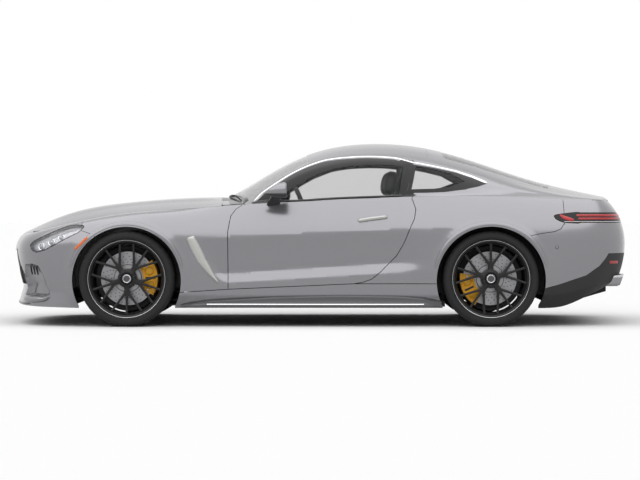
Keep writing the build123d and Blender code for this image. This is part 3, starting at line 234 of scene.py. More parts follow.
def sculpt(x, z):
    """Outward relief of the side: swollen arches, lower door hollow and a shoulder line."""
    out = np.zeros_like(x)
    for axle in (FRONT_AXLE_X, REAR_AXLE_X):
        radius = np.hypot(x - axle, z - HUB_Z + ARCH_DROP)
        out += ARCH_SWELL * (1 - smooth_step(radius, ARCH_RADIUS + 12, ARCH_RADIUS + 84))
    blade_z, blade_x = np.array(FENDER_BLADE[::-1], float).T[::-1]
    between = smooth_step(x - np.interp(z, blade_z, blade_x), 0, 90)
    between *= 1 - smooth_step(x, REAR_AXLE_X - 720, REAR_AXLE_X - 400)
    top, middle, low = (height + slope * x for height, slope in DOOR_CREASES)
    above = np.clip((top - z) / (top - middle), 0, 1)
    below = np.clip((z - low) / (middle - low), 0, 1)
    out -= DOOR_HOLLOW * between * np.where(z > middle, above, below)
    shoulder = smooth_step(x, -1100, -500) * (1 - smooth_step(x, 900, 1500))
    return out + SHOULDER_RISE * np.exp(-np.abs(z - top) / SHOULDER_FADE) * shoulder


def body_point(u, v):
    """Points of the lower body's left side at perimeter station u and developed height v."""
    rows = BODY_CURVE(u).reshape(-1, 4, 3)
    waist, shoulder, sill, foot = (rows[:, i] for i in range(4))
    t = np.interp(v, BODY_HEIGHTS, [0, 1, 2, 3])
    end = np.where((t > 2)[:, None], shoulder, sill)
    share = np.where(t > 2, t - 2, 2 - np.maximum(t, 1))
    across = (end - waist)[:, :2]
    depth = np.maximum(np.linalg.norm(across, axis=1), 1e-6)
    rise = np.abs(end[:, 2] - waist[:, 2])
    radius = (depth ** 2 + rise ** 2) / (2 * depth)
    angle = np.arctan2(rise, radius - depth) * share
    inward = across / depth[:, None]
    point = waist.copy()
    point[:, :2] += inward * (radius * (1 - np.cos(angle)))[:, None]
    point[:, 2] += np.sign(end[:, 2] - waist[:, 2]) * radius * np.sin(angle)
    low = np.clip(1 - t, 0, 1)[:, None]
    point = point * (1 - low) + foot * low
    fade = np.clip(t, 0, 1) * np.clip((3 - t) * 3, 0, 1)
    point[:, :2] -= inward * (sculpt(point[:, 0], point[:, 2]) * fade)[:, None]
    point[:, 1] *= -1
    return point


HOUSE_CURVE = Spline([row[0] for row in GREENHOUSE], [row[1:] for row in GREENHOUSE])
HOUSE_WIDTHS = np.array([0, 40, 340, 960], float)
SHOULDER = BODY_CURVE(np.linspace(0, BODY_LENGTH, 600)).reshape(-1, 4, 3)[:, 1]


def shoulder_at(x):
    """Half width and height of the body's shoulder edge, from the cowl to the tail."""
    edge = SHOULDER[SHOULDER[:, 0] > -800].T
    return np.interp(x, edge[0], edge[1]), np.interp(x, edge[0], edge[2])


def house_section(x, w):
    """Half widths and heights of the greenhouse, with w from 0 at the shoulder to 1 at the belt, 2 at the
    rail and 3 at the centre line.
    """
    belt_y, belt_z, rail_y, rail_z, centre_z = HOUSE_CURVE(x).T
    edge_y, edge_z = shoulder_at(x)
    belt_y = np.minimum(belt_y, edge_y - 4)
    belt_z = np.maximum(belt_z, edge_z - 6)
    y_low = edge_y + (belt_y - edge_y) * w
    z_low = edge_z + (belt_z - edge_z) * w
    s = w - 1
    chord = np.hypot(rail_y - belt_y, rail_z - belt_z) + 1e-6
    bulge = 4 * SIDE_BULGE * s * (1 - s) * np.clip(chord / 200, 0, 1)
    y_side = belt_y + (rail_y - belt_y) * s + bulge * (rail_z - belt_z) / chord
    z_side = belt_z + (rail_z - belt_z) * s + bulge * (belt_y - rail_y) / chord
    y_top = rail_y * (3 - w)
    z_top = centre_z - (centre_z - rail_z) * np.abs(3 - w) ** 2
    y = np.where(w < 1, y_low, np.where(w < 2, y_side, y_top))
    z = np.where(w < 1, z_low, np.where(w < 2, z_side, z_top))
    return y, z


def house_point(x, v):
    """Points of the greenhouse's left half at station x and developed width v, its edges softly rounded."""
    w = np.interp(v, HOUSE_WIDTHS, [0, 1, 2, 3])
    y, z = house_section(x, w)
    near = smooth_step(w, 1.5, 1.8) * (1 - smooth_step(w, 2.2, 2.4))
    offsets = np.linspace(-0.16, 0.16, 9)
    soft = np.mean([house_section(x, w + offset) for offset in offsets], axis=0)
    low = (1 - smooth_step(w, 1.1, 1.35)) * smooth_step(x, 900, 1200) * smooth_step(w, 0.1, 0.5)
    wide = np.mean([house_section(x, np.clip(w + offset, 0, 2)) for offset in offsets * 3], axis=0)
    y = y + (soft[0] - y) * near + (wide[0] - y) * low
    z = z + (soft[1] - z) * near + (wide[1] - z) * low
    return np.stack([np.asarray(x, float), -y, z], axis=1)


class Patch:
    """A smooth surface over a flat domain, cut along outlines into panels."""

    def __init__(self, point, u_span, v_span, centre):
        self.point, self.u_span, self.v_span, self.centre = point, u_span, v_span, np.array(centre, float)
        u = np.linspace(*u_span, 700)
        v = np.linspace(*v_span, 110)
        self.uv = np.stack(np.meshgrid(u, v, indexing="ij"), axis=-1).reshape(-1, 2)
        self.xyz = point(self.uv[:, 0], self.uv[:, 1])
        self.lines, self.fine = [], []

    def locate(self, points, axes, window=None):
        """Domain places of points known in two of the three axes."""
        points = np.asarray(points, float)
        allowed = np.ones(len(self.uv), bool)
        if window:
            allowed = (self.uv[:, 0] >= window[0]) & (self.uv[:, 0] <= window[1])
        uv, xyz = self.uv[allowed], self.xyz[allowed][:, axes]
        found = np.array([uv[np.argmin(((xyz - p) ** 2).sum(axis=1))] for p in points])
        for _ in range(4):
            here = self.point(found[:, 0], found[:, 1])[:, axes]
            du = self.point(found[:, 0] + 1, found[:, 1])[:, axes] - here
            dv = self.point(found[:, 0], found[:, 1] + 1)[:, axes] - here
            miss = points - here
            det = du[:, 0] * dv[:, 1] - du[:, 1] * dv[:, 0]
            det = np.where(np.abs(det) < 1e-3, 1e9, det)
            step_u = (miss[:, 0] * dv[:, 1] - miss[:, 1] * dv[:, 0]) / det
            step_v = (du[:, 0] * miss[:, 1] - du[:, 1] * miss[:, 0]) / det
            found[:, 0] = np.clip(found[:, 0] + np.clip(step_u, -30, 30), *self.u_span)
            found[:, 1] = np.clip(found[:, 1] + np.clip(step_v, -30, 30), *self.v_span)
        return found

    def draw(self, line, closed=True):
        """Adds a line of the domain as a cut."""
        line = np.asarray(line, float)
        if closed:
            line = np.concatenate([line, line[:1]])
        self.lines.append(line)
        return line

    def triangles(self):
        u0, u1 = self.u_span
        v0, v1 = self.v_span
        frame_line = np.array([(u0, v0), (u1, v0), (u1, v1), (u0, v1), (u0, v0)])
        points, edges = [], []
        for line in self.lines + [frame_line]:
            fine = divided(line, CUT_STEP)
            base = len(points)
            points.extend(fine)
            edges.extend((base + i, base + i + 1) for i in range(len(fine) - 1))
        marks = np.array(points)
        grid_u = np.linspace(u0, u1, int((u1 - u0) / GRID) + 1)[1:-1]
        grid_v = np.linspace(v0, v1, int((v1 - v0) / GRID) + 1)[1:-1]
        grid = np.stack(np.meshgrid(grid_u, grid_v, indexing="ij"), axis=-1).reshape(-1, 2)
        for line in self.fine:
            axes = [np.arange(line[:, i].min(), line[:, i].max(), FINE_GRID) for i in (0, 1)]
            close = np.stack(np.meshgrid(*axes, indexing="ij"), axis=-1).reshape(-1, 2)
            grid = np.concatenate([grid[~inside(grid, line)], close[inside(close, line)]])
        far = np.array([((marks - g) ** 2).sum(axis=1).min() > 36 for g in grid])
        points = [Vector(p) for p in np.concatenate([marks, grid[far]])]
        verts, _, faces = delaunay_2d_cdt(points, edges, [], 0, 0.01, False)[:3]
        self.flat = np.array([tuple(p) for p in verts])
        self.faces = np.array([f for f in faces if len(f) == 3])
        self.middle = self.flat[self.faces].mean(axis=1)
        self.verts, self.normals = self.place(self.flat)

    def place(self, uv):
        """Points and outward normals at places of the domain."""
        u, v = np.asarray(uv, float).T
        points = self.point(u, v)
        du = self.point(u + 0.5, v) - self.point(u - 0.5, v)
        dv = self.point(u, v + 0.5) - self.point(u, v - 0.5)
        normals = unit(np.cross(du, dv))
        outward = ((points - self.centre) * normals).sum(axis=1)
        return points, normals * np.where(outward < 0, -1.0, 1.0)[:, None]

    def panel(self, chosen):
        """Points, normals and triangles of the chosen part."""
        faces = self.faces[chosen]
        used, inverse = np.unique(faces, return_inverse=True)
        faces = inverse.reshape(-1, 3)
        verts, normals = self.verts[used], self.normals[used]
        corner = verts[faces]
        turn = np.cross(corner[:, 1] - corner[:, 0], corner[:, 2] - corner[:, 0])
        wrong = (turn * normals[faces[:, 0]]).sum(axis=1) < 0
        faces[wrong] = faces[wrong][:, ::-1]
        return verts, normals, faces


def unit(vectors):
    return vectors / np.maximum(np.linalg.norm(vectors, axis=-1, keepdims=True), 1e-9)


def divided(line, step):
    """A line's points with none further apart than the step."""
    out = [line[0]]
    for a, b in zip(line[:-1], line[1:]):
        count = max(1, int(np.ceil(np.linalg.norm(b - a) / step)))
        out.extend(a + (b - a) * (i + 1) / count for i in range(count))
    return np.array(out)


def inside(points, polygon):
    """Which points lie inside a closed outline."""
    x, y = points[:, 0], points[:, 1]
    hit = np.zeros(len(points), bool)
    for a, b in zip(polygon, np.roll(polygon, -1, axis=0)):
        crosses = (a[1] > y) != (b[1] > y)
        place = a[0] + (y - a[1]) / np.where(b[1] == a[1], 1e-9, b[1] - a[1]) * (b[0] - a[0])
        hit ^= crosses & (x < place)
    return hit


def rim_edges(faces):
    """Edges that only one triangle uses, in that triangle's direction."""
    pairs = np.concatenate([faces[:, [0, 1]], faces[:, [1, 2]], faces[:, [2, 0]]])
    keys = np.sort(pairs, axis=1)
    _, index, count = np.unique(keys, axis=0, return_index=True, return_counts=True)
    return pairs[index[count == 1]]


class Mesh:
    """Parts gathered with their materials, and with normals where they are shells, for one object."""

    def __init__(self):
        self.verts, self.normals, self.faces, self.mats = [], [], [], []

    def add(self, part, mat=0, normals=()):
        base = len(self.verts)
        self.verts.extend(np.asarray(part[0], float).tolist())
        self.normals.extend(np.asarray(normals, float).tolist())
        self.faces.extend(tuple(int(i) + base for i in face) for face in part[1])
        self.mats.extend([mat] * len(part[1]))
        return self

    def shell(self, verts, normals, faces, thickness=SKIN, gap=SHUT_GAP, back=None, mats=(0, 0), lift=0.0):
        """A panel with its edges drawn back by the gap, and a back face at its thickness."""
        edges = rim_edges(faces)
        edges = edges[np.abs(verts[edges][:, :, 1]).max(axis=1) > 0.5]
        pull = np.zeros_like(verts)
        inward = unit(np.cross(normals[edges[:, 0]], verts[edges[:, 1]] - verts[edges[:, 0]]))
        np.add.at(pull, edges[:, 0], inward)
        np.add.at(pull, edges[:, 1], inward)
        pull = unit(pull)
        verts = verts + pull * gap + normals * lift
        self.add((verts, faces), mats[0], normals)
        depth = thickness(verts)[:, None] if callable(thickness) else thickness
        behind = verts - normals * depth if back is None else back(verts)
        self.add((behind, faces[:, ::-1]), mats[1], -normals)
        ring = np.unique(edges)
        place = np.zeros(len(verts), int)
        place[ring] = np.arange(len(ring))
        top = place[edges]
        wall = np.stack([top[:, 1], top[:, 0], top[:, 0] + len(ring), top[:, 1] + len(ring)], axis=1)
        outward = np.concatenate([unit(normals[ring] - pull[ring]), unit(-pull[ring])])
        return self.add((np.concatenate([verts[ring], behind[ring]]), wall), mats[1], outward)

    def mirrored(self):
        other = Mesh()
        other.verts, other.normals = ([[x, -y, z] for x, y, z in rows] for rows in (self.verts, self.normals))
        other.faces, other.mats = [face[::-1] for face in self.faces], list(self.mats)
        return other

    def paired(self):
        """This mesh together with its mirror image."""
        both, other, base = Mesh(), self.mirrored(), len(self.verts)
        both.verts, both.normals = self.verts + other.verts, self.normals + other.normals
        both.faces = self.faces + [tuple(i + base for i in face) for face in other.faces]
        both.mats = self.mats + other.mats
        return both

    def sides(self):
        return ("left", self), ("right", self.mirrored())

    def object(self, name, materials, body, slot, nodes=(), angle=38.0):
        """An object that rides on its body. Without normals, edges sharper than the angle stay sharp."""
        mesh = bpy.data.meshes.new(name)
        mesh.from_pydata((np.array(self.verts) * MM).tolist(), [], self.faces)
        mesh.polygons.foreach_set("use_smooth", [True] * len(mesh.polygons))
        mesh.polygons.foreach_set("material_index", self.mats)
        if self.normals:
            mesh.update()
            mesh.normals_split_custom_set_from_vertices(self.normals)
        else:
            work = bmesh.new()
            work.from_mesh(mesh)
            bmesh.ops.recalc_face_normals(work, faces=work.faces)
            work.to_mesh(mesh)
            work.free()
            mesh.set_sharp_from_angle(angle=math.radians(angle))
        for material in materials if isinstance(materials, list) else [materials]:
            mesh.materials.append(material)
        obj = bpy.data.objects.new(name, mesh)
        bpy.context.scene.collection.objects.link(obj)
        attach(obj, body)
        if nodes:
            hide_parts(*nodes)
        return obj


def loft(rings, loop=False):
    """A skin over rings of points, closed at its ends or into a loop."""
    rings = np.asarray(rings, float)
    count, size = rings.shape[:2]
    faces = []
    for i in range(count if loop else count - 1):
        a, b = i * size, (i + 1) % count * size
        faces.extend((a + j, a + (j + 1) % size, b + (j + 1) % size, b + j) for j in range(size))
    if not loop:
        faces.append(tuple(range(size))[::-1])
        faces.append(tuple(range((count - 1) * size, count * size)))
    return rings.reshape(-1, 3), faces


def rounded(width, height, power=4.0, count=16):
    """A rounded rectangle as a ring of points."""
    angle = np.linspace(0, 2 * math.pi, count, endpoint=False)
    c, s = np.cos(angle), np.sin(angle)
    size = (np.abs(c) ** power + np.abs(s) ** power) ** (-1 / power)
    return np.stack([c * size * width / 2, s * size * height / 2], axis=1)


def sweep(path, section, up, scale=1.0):
    """A section carried along a path."""
    path = np.asarray(path, float)
    along = unit(np.gradient(path, axis=0))
    aside = unit(np.cross(np.broadcast_to(up, path.shape), along))
    over = unit(np.cross(along, aside))
    size = np.broadcast_to(scale, len(path))[:, None, None]
    ring = aside[:, None] * section[None, :, :1] + over[:, None] * section[None, :, 1:]
    return loft(path[:, None] + ring * size)


def bead(patch, line, width, height, sink=3.0, ends=0.0, step=12.0):
    """A strip with a rounded top along a line of a surface, slimmer towards its ends where asked."""
    points, normals = patch.place(divided(np.asarray(line, float), step))
    run = np.concatenate([[0], np.cumsum(np.linalg.norm(np.diff(points, axis=0), axis=1))])
    share = run / run[-1]
    slim = np.sqrt(np.clip(np.minimum(share, 1 - share) / ends, 0.02, 1)) if ends else np.ones_like(share)
    wide = np.interp(share, np.linspace(0, 1, len(np.atleast_1d(width))), np.atleast_1d(width)) * slim
    along = unit(np.gradient(points, axis=0))
    aside = unit(np.cross(normals, along))
    angle = np.linspace(0, math.pi, 7)
    out = aside[:, None] * (np.cos(angle) * wide[:, None] / 2)[..., None]
    rise = (np.sin(angle) * (height + sink) * slim[:, None] - sink)[..., None]
    return loft(points[:, None] + out + normals[:, None] * rise)


def turned(profile, centre, axis, segments=48, phase=0.0):
    """A closed profile of radius and height turned round an axis."""
    axis = unit(np.asarray(axis, float))
    side = unit(np.cross(axis, (0.0, 0.0, 1.0) if abs(axis[2]) < 0.9 else (1.0, 0.0, 0.0)))
    over = np.cross(axis, side)
    angle = np.linspace(0, 2 * math.pi, segments, endpoint=False) + phase
    profile = np.asarray(profile, float)
    spin = np.cos(angle)[:, None] * side + np.sin(angle)[:, None] * over
    rings = np.asarray(centre, float) + profile[None, :, :1] * spin[:, None] + profile[None, :, 1:] * axis
    return loft(rings, loop=True)


def lump(centre, half, power=3.5, rows=16, columns=28):
    """A closed rounded block."""
    tilt = np.linspace(-math.pi / 2, math.pi / 2, rows + 1)[1:-1]
    turn = np.linspace(0, 2 * math.pi, columns, endpoint=False)
    way = np.stack([
        np.cos(tilt)[:, None] * np.cos(turn), np.cos(tilt)[:, None] * np.sin(turn),
        np.broadcast_to(np.sin(tilt)[:, None], (rows - 1, columns)),
    ], axis=-1)
    size = (np.abs(way) ** power).sum(axis=-1, keepdims=True) ** (-1 / power)
    return loft(np.asarray(centre, float) + way * size * np.asarray(half, float))


def upright(ring, x, y, z, slant=0.0):
    """A flat ring set upright at x, leaned by its slant."""
    return np.stack([x + slant * ring[:, 1], y + ring[:, 0], z + ring[:, 1]], axis=1)


def shader_node(tree, kind, **inputs):
    """A shader node with its inputs set."""
    made = tree.nodes.new("ShaderNode" + kind)
    for key, value in inputs.items():
        made.inputs[key.replace("_", " ")].default_value = value
    return made


def new_material(name):
    material = bpy.data.materials.new(name)
    material.use_nodes = True
    return material, material.node_tree, material.node_tree.nodes["Principled BSDF"]


def surface(name, colour, roughness, metallic=0.0, grain=400, vary=0.08, relief=0.05, detail=3, coat=0.0,
            specular=0.5):
    """A material whose colour, roughness and relief vary with a fine grain."""
    material, tree, shader = new_material(name)
    link = tree.links.new
    noise = shader_node(tree, "TexNoise", Scale=grain, Detail=detail)
    link(shader_node(tree, "TexCoord").outputs["Object"], noise.inputs["Vector"])
    ramp = shader_node(tree, "ValToRGB")
    for stop, place, share in zip(ramp.color_ramp.elements, (0.3, 0.7), (1 - vary, 1 + vary)):
        stop.color = (*(min(1.0, c * share) for c in colour), 1)
        stop.position = place
    link(noise.outputs["Fac"], ramp.inputs["Fac"])
    link(ramp.outputs["Color"], shader.inputs["Base Color"])
    low, high = max(0.0, roughness - vary / 2), min(1.0, roughness + vary / 2)
    spread = shader_node(tree, "MapRange", To_Min=low, To_Max=high)
    link(noise.outputs["Fac"], spread.inputs["Value"])
    link(spread.outputs["Result"], shader.inputs["Roughness"])
    if relief:
        lift = shader_node(tree, "Bump", Strength=relief, Distance=0.0005)
        link(noise.outputs["Fac"], lift.inputs["Height"])
        link(lift.outputs["Normal"], shader.inputs["Normal"])
    for key, value in (("Metallic", metallic), ("Coat Weight", coat), ("Specular IOR Level", specular)):
        shader.inputs[key].default_value = value
    return material


def glass(name, tint, clear):
    """Thin tinted glass: partly see-through, with a clear gloss and a faint unevenness."""
    material, tree, shader = new_material(name)
    noise = shader_node(tree, "TexNoise", Scale=6.0)
    spread = shader_node(tree, "MapRange", To_Min=0.02, To_Max=0.04)
    tree.links.new(noise.outputs["Fac"], spread.inputs["Value"])
    tree.links.new(spread.outputs["Result"], shader.inputs["Roughness"])
    for key, value in (("Base Color", (*tint, 1)), ("IOR", 1.45), ("Alpha", 1 - clear), ("Coat Weight", 0.6)):
        shader.inputs[key].default_value = value
    material.surface_render_method = "BLENDED"
    return material


PAINT = surface("silver_paint", (0.255, 0.25, 0.266), 0.24, 0.6, 2600, 0.06, 0.02, coat=0.3)
INNER = surface("inner_panel", (0.05, 0.05, 0.055), 0.6, 0.2, 300)
BLACK = surface("satin_black", (0.018, 0.018, 0.02), 0.32, 0, 900, 0.15, coat=0.3)
MATT = surface("moulded_black", (0.013, 0.013, 0.014), 0.66, 0, 1500, 0.2, 0.25)
CHROME = surface("bright_trim", (0.82, 0.82, 0.84), 0.14, 1, 60, 0.03, 0)
GLASS_SIDE = glass("side_glass", (0.02, 0.024, 0.024), 0.86)
GLASS_FRONT = glass("front_glass", (0.03, 0.036, 0.036), 0.74)
GLASS_REAR = glass("rear_glass", (0.015, 0.017, 0.019), 0.45)
LENS = glass("clear_lens", (0.78, 0.8, 0.83), 0.9)
RED = surface("red_lens", (0.5, 0.006, 0.012), 0.3, 0, 120, 0.12, 0, coat=0.2)
AMBER = surface("amber_lens", (0.84, 0.15, 0.006), 0.3, 0, 160, 0.1, 0, coat=0.2)
BOWL = surface("lamp_bowl", (0.6, 0.6, 0.63), 0.3, 0.3, 300, 0.15)
PROJECTOR = surface("projector_lens", (0.3, 0.32, 0.35), 0.06, 0.6, 90, 0.1, 0, coat=1.0)
LIGHT_STRIP = surface("light_strip", (0.8, 0.8, 0.82), 0.25, 0, 300, 0.05, 0.02)
SKIRT_GREY = surface("skirt_grey", (0.085, 0.086, 0.09), 0.38, 0.3, 900, 0.12, 0.08, coat=0.3)
CAP = surface("hub_cap", (0.06, 0.06, 0.065), 0.25, 0.6, 400, 0.1, coat=0.6)
SCREEN = surface("dark_screen", (0.006, 0.007, 0.009), 0.08, 0, 30, 0.2, 0, coat=1.0)
DISC = surface("brake_disc", (0.3, 0.3, 0.31), 0.35, 0.85, 600, 0.12, 0.1)
DARK_STEEL = surface("dark_steel", (0.045, 0.045, 0.05), 0.4, 0.5, 500, 0.15, 0.1)
MIRROR = surface("mirror_glass", (0.75, 0.77, 0.8), 0.03, 1, 20, 0.02, 0)
CARPET = surface("boot_carpet", (0.022, 0.022, 0.024), 0.9, 0, 700, 0.35, 0.6, 8)
MESH = surface("grille_mesh", (0.008, 0.008, 0.009), 0.7, 0.1, 220, 0.6, 0.8, 1)
SATIN = surface("satin_trim", (0.5, 0.5, 0.48), 0.36, 0.5, 900, 0.05, 0.03)
# Dark glass border colour, also used for the painted shade round the door handles.
FRIT = surface("glass_border", (0.012, 0.012, 0.013), 0.25, 0, 600, 0.2, 0, specular=0.25)
TIP_CHROME = surface("tip_chrome", (0.26, 0.26, 0.27), 0.16, 1, 60, 0.05, 0)
CAST = surface("cast_metal", (0.16, 0.16, 0.165), 0.55, 0.7, 900, 0.2, 0.2)
TANK = surface("tank_plastic", (0.5, 0.49, 0.44), 0.5, 0, 400, 0.06)
STEEL = surface("brushed_steel", (0.42, 0.42, 0.43), 0.36, 1, 500, 0.1, 0.1)
STRUCTURE = surface("coated_structure", (0.035, 0.036, 0.04), 0.6, 0.1, 350, 0.15, 0.12)
ENGINE = surface("cast_alloy", (0.16, 0.165, 0.17), 0.5, 0.7, 500, 0.15, 0.3)
WHEEL_BLACK = surface("wheel_black", (0.009, 0.009, 0.01), 0.34, 0, 1200, 0.12, specular=0.3)
MACHINED = surface("machined_rim", (0.55, 0.55, 0.57), 0.25, 1, 700, 0.06, 0.04)
RUBBER = surface("tyre_rubber", (0.009, 0.009, 0.0095), 0.82, 0, 800, 0.25, 0.25)
CALIPER = surface("caliper_yellow", (0.95, 0.47, 0.006), 0.42, 0, 500, 0.08, coat=0.15)
LEATHER = surface("black_leather", (0.022, 0.021, 0.022), 0.48, 0, 420, 0.2, 0.5, 6)
CABIN = surface("cabin_trim", (0.03, 0.03, 0.033), 0.6, 0, 900, 0.2, 0.3)

SIDE_XZ, FACE_YZ, PLAN_XY = [0, 2], [1, 2], [0, 1]
BODY_TOP, HOUSE_TOP = BODY_HEIGHTS[-1], HOUSE_WIDTHS[-1]
# How far an outline reaches past the edge of a patch, so that it takes in the edge.
PAST = 5.0
body = Patch(body_point, (0.0, BODY_LENGTH), (0.0, BODY_TOP), (0, 0, 560))
house = Patch(house_point, (-718.0, GREENHOUSE_END_X), (0.0, HOUSE_TOP), (300, 0, 700))
regions = {}


def side_line(points, window=None):
    """Places of a side-view line on the lower body."""
    return body.locate(points, SIDE_XZ, window)


def face_line(points, window):
    """Places of a line on the nose or the tail, given by half widths and heights."""
    return body.locate([(-y, z) for y, z in points], FACE_YZ, window)


def station(x, z):
    return side_line([(x, z)])[0][0]


def level(u_from, u_to, z, count=24):
    """A line of constant height on the lower body between two stations."""
    heights = np.linspace(*body.v_span, 240)
    out = []
    for u in np.linspace(u_from, u_to, count):
        column = body.point(np.full(240, u), heights)[:, 2]
        out.append((u, np.interp(z, column, heights)))
    return np.array(out)


def arch(axle_x):
    """The edge of a wheel arch in side view."""
    angle = np.radians(np.linspace(-32, 212, 60))
    rim = [(axle_x + ARCH_RADIUS * math.cos(a), HUB_Z - ARCH_DROP + ARCH_RADIUS * math.sin(a)) for a in angle]
    return np.array([(x, z) for x, z in rim if z > 137])


def footed(line):
    """A line closed below the body's lower edge."""
    return np.concatenate([[(line[0][0], -PAST)], line, [(line[-1][0], -PAST)]])


def divide(patch, lines, names):
    """Gives each outline in turn the triangles inside it, and returns which are taken."""
    taken = np.zeros(len(patch.faces), bool)
    for name in names:
        regions[name] = patch, inside(patch.middle, lines[name]) & ~taken
        taken |= regions[name][1]
    return taken


front_u, rear_u = station(FRONT_SEAM_X, 640), station(REAR_SEAM_X, 640)
nose_end, tail_start = station(-2140, 565), station(2187, 628)
nose_window, tail_window = (0.0, nose_end), (tail_start, BODY_LENGTH)
lamp_window, corner_window = (nose_end - 350, front_u + 60), (nose_end - 420, front_u)
face_u = face_line([(TAIL_LAMP_INNER_Y, 800)], (tail_start - 200, BODY_LENGTH))[0][0]
outlines = {
    "front_corner": side_line([(x, max(z, 140)) for x, z in FRONT_SEAM]),
    "rear_corner": side_line([(x, max(z, 140)) for x, z in REAR_SEAM]),
    "arch_front": footed(side_line(arch(FRONT_AXLE_X))),
    "arch_rear": footed(side_line(arch(REAR_AXLE_X))),
    "headlamp": side_line(HEADLAMP, lamp_window),
    "intake": side_line(INTAKE, (nose_end - 350, front_u)),
    "grille": face_line(GRILLE, nose_window),
    "grille_wing": face_line(GRILLE_WING, nose_window),
}
door_uv = side_line([p for p in DOOR if p[1] < 960])
door_front = [(door_uv[0][0] + 22, 900), (door_uv[0][0] + 10, 850)]
outlines["door"] = np.concatenate([door_front, door_uv, [(door_uv[-1][0] - 18, 900)]])
lamp_low, lamp_high = side_line(TAIL_LAMP_SIDE), side_line(TAIL_LAMP_TOP)
outlines["tail_lamp"] = np.concatenate([
    lamp_low, level(lamp_low[-1][0], face_u, 772)[1:], level(face_u, lamp_high[0][0], 846)[:-1], lamp_high,
])
outlines["sill"] = footed(side_line(SILL_LINE))
diffuser_uv = side_line(DIFFUSER_LINE)
step_u = face_line([(y, 500) for y in DIFFUSER_STEP_Y], tail_window)[:, 0]
outlines["diffuser"] = np.concatenate([
    [(diffuser_uv[0][0], -PAST)], diffuser_uv, level(diffuser_uv[-1][0] + 25, step_u[0], DIFFUSER_TOPS[0]),
    level(step_u[1], BODY_LENGTH + PAST, DIFFUSER_TOPS[1]), [(BODY_LENGTH + PAST, -PAST)],
])
outlines["plate"] = face_line(PLATE, tail_window)
outlines["plate"][[0, -1], 0] = BODY_LENGTH + PAST
for line in outlines.values():
    body.draw(np.clip(line, [0, 0], [BODY_LENGTH, BODY_TOP]))
for name in ("front_corner", "rear_corner"):
    outlines[name][outlines[name][:, 1] < 40, 1] = -PAST
body.fine.extend([outlines["intake"], outlines["headlamp"]])
for height, slope in DOOR_CREASES:
    body.draw(side_line([(x, height + slope * x) for x in np.linspace(-930, 820, 12)]), closed=False)
for u in (front_u, rear_u):
    body.draw([(u, 400), (u, BODY_TOP)], closed=False)
body.triangles()
taken = divide(body, outlines, [
    "arch_front", "arch_rear", "headlamp", "intake", "grille", "grille_wing", "door", "tail_lamp", "diffuser",
    "plate", "sill",
])
u_middle = body.middle[:, 0]
for end, beyond in (("front", u_middle < front_u), ("rear", u_middle > rear_u)):
    regions[end + "_bumper"] = body, ~taken & (beyond | inside(body.middle, outlines[end + "_corner"]))
taken |= regions["front_bumper"][1] | regions["rear_bumper"][1]
door_mid = (station(-684, 640) + station(660, 640)) / 2
regions["fender"] = body, ~taken & (u_middle < door_mid)
regions["quarter"] = body, ~taken & (u_middle >= door_mid)

side_panes = [
    ("door_glass", DOOR_GLASS), ("quarter_glass", QUARTER_GLASS), ("door_clear", DOOR_CLEAR),
    ("quarter_clear", QUARTER_CLEAR),
]
house_outlines = {name: house.locate(points, SIDE_XZ) for name, points in side_panes}
for name, points in [("windscreen", WINDSCREEN), ("tailgate", TAILGATE), ("rear_window", REAR_WINDOW)]:
    line = house.locate([(x, -y) for x, y in points], PLAN_XY)
    line[[y == 0 for x, y in points], 1] = HOUSE_TOP + 1
    house_outlines[name] = line
for line in house_outlines.values():
    house.draw(np.clip(line, [house.u_span[0], 0], [house.u_span[1], HOUSE_TOP]))
house.triangles()
taken = divide(house, house_outlines, [
    "door_clear", "quarter_clear", "door_glass", "quarter_glass", "windscreen", "rear_window", "tailgate",
])
u_middle, v_middle = house.middle.T
between = (u_middle > 600) & (u_middle < 706) & (v_middle < 330) & ~taken
regions["pillar"] = house, between
regions["roof"] = house, ~taken & ~between


def skin(region, **settings):
    """A shell over a region of the lower body or of the greenhouse."""
    patch, chosen = regions[region]
    return Mesh().shell(*patch.panel(chosen), **settings)


def fit(mesh, name, materials, slot, *nodes, body_name="body"):
    """Puts a left-hand piece and its mirror image on a body, as one object."""
    mesh.paired().object(name, materials, body_name, slot, nodes)


def fit_sides(mesh, name, materials, body_name, slot, *nodes):
    """Puts a left-hand piece on a left-hand body, and its mirror image on the right-hand one."""
    for side, one in mesh.sides():
        replaced = [f"{node}_{side}" for node in nodes]
        one.object(f"{name}_{side}", materials, f"{body_name}_{side}", slot, replaced)


def door_back(verts, foot_y=-758, middle_x=10, middle_z=600, top_z=925):
    """The inner face of a door: leaning a little, and drawn in towards its middle."""
    back = verts.copy()
    back[:, 1] = foot_y + np.clip(back[:, 2] - 300, 0, 600) * 0.03
    back[:, 0] = middle_x + (back[:, 0] - middle_x) * 0.968
    back[:, 2] = np.minimum(middle_z + (back[:, 2] - middle_z) * 0.965, top_z)
    return back


def thin_at_tail(verts):
    """Thickness of the upper panels, less where they run out at the tail."""
    return np.interp(verts[:, 0], [1800, 2040], [18.0, 2.0])


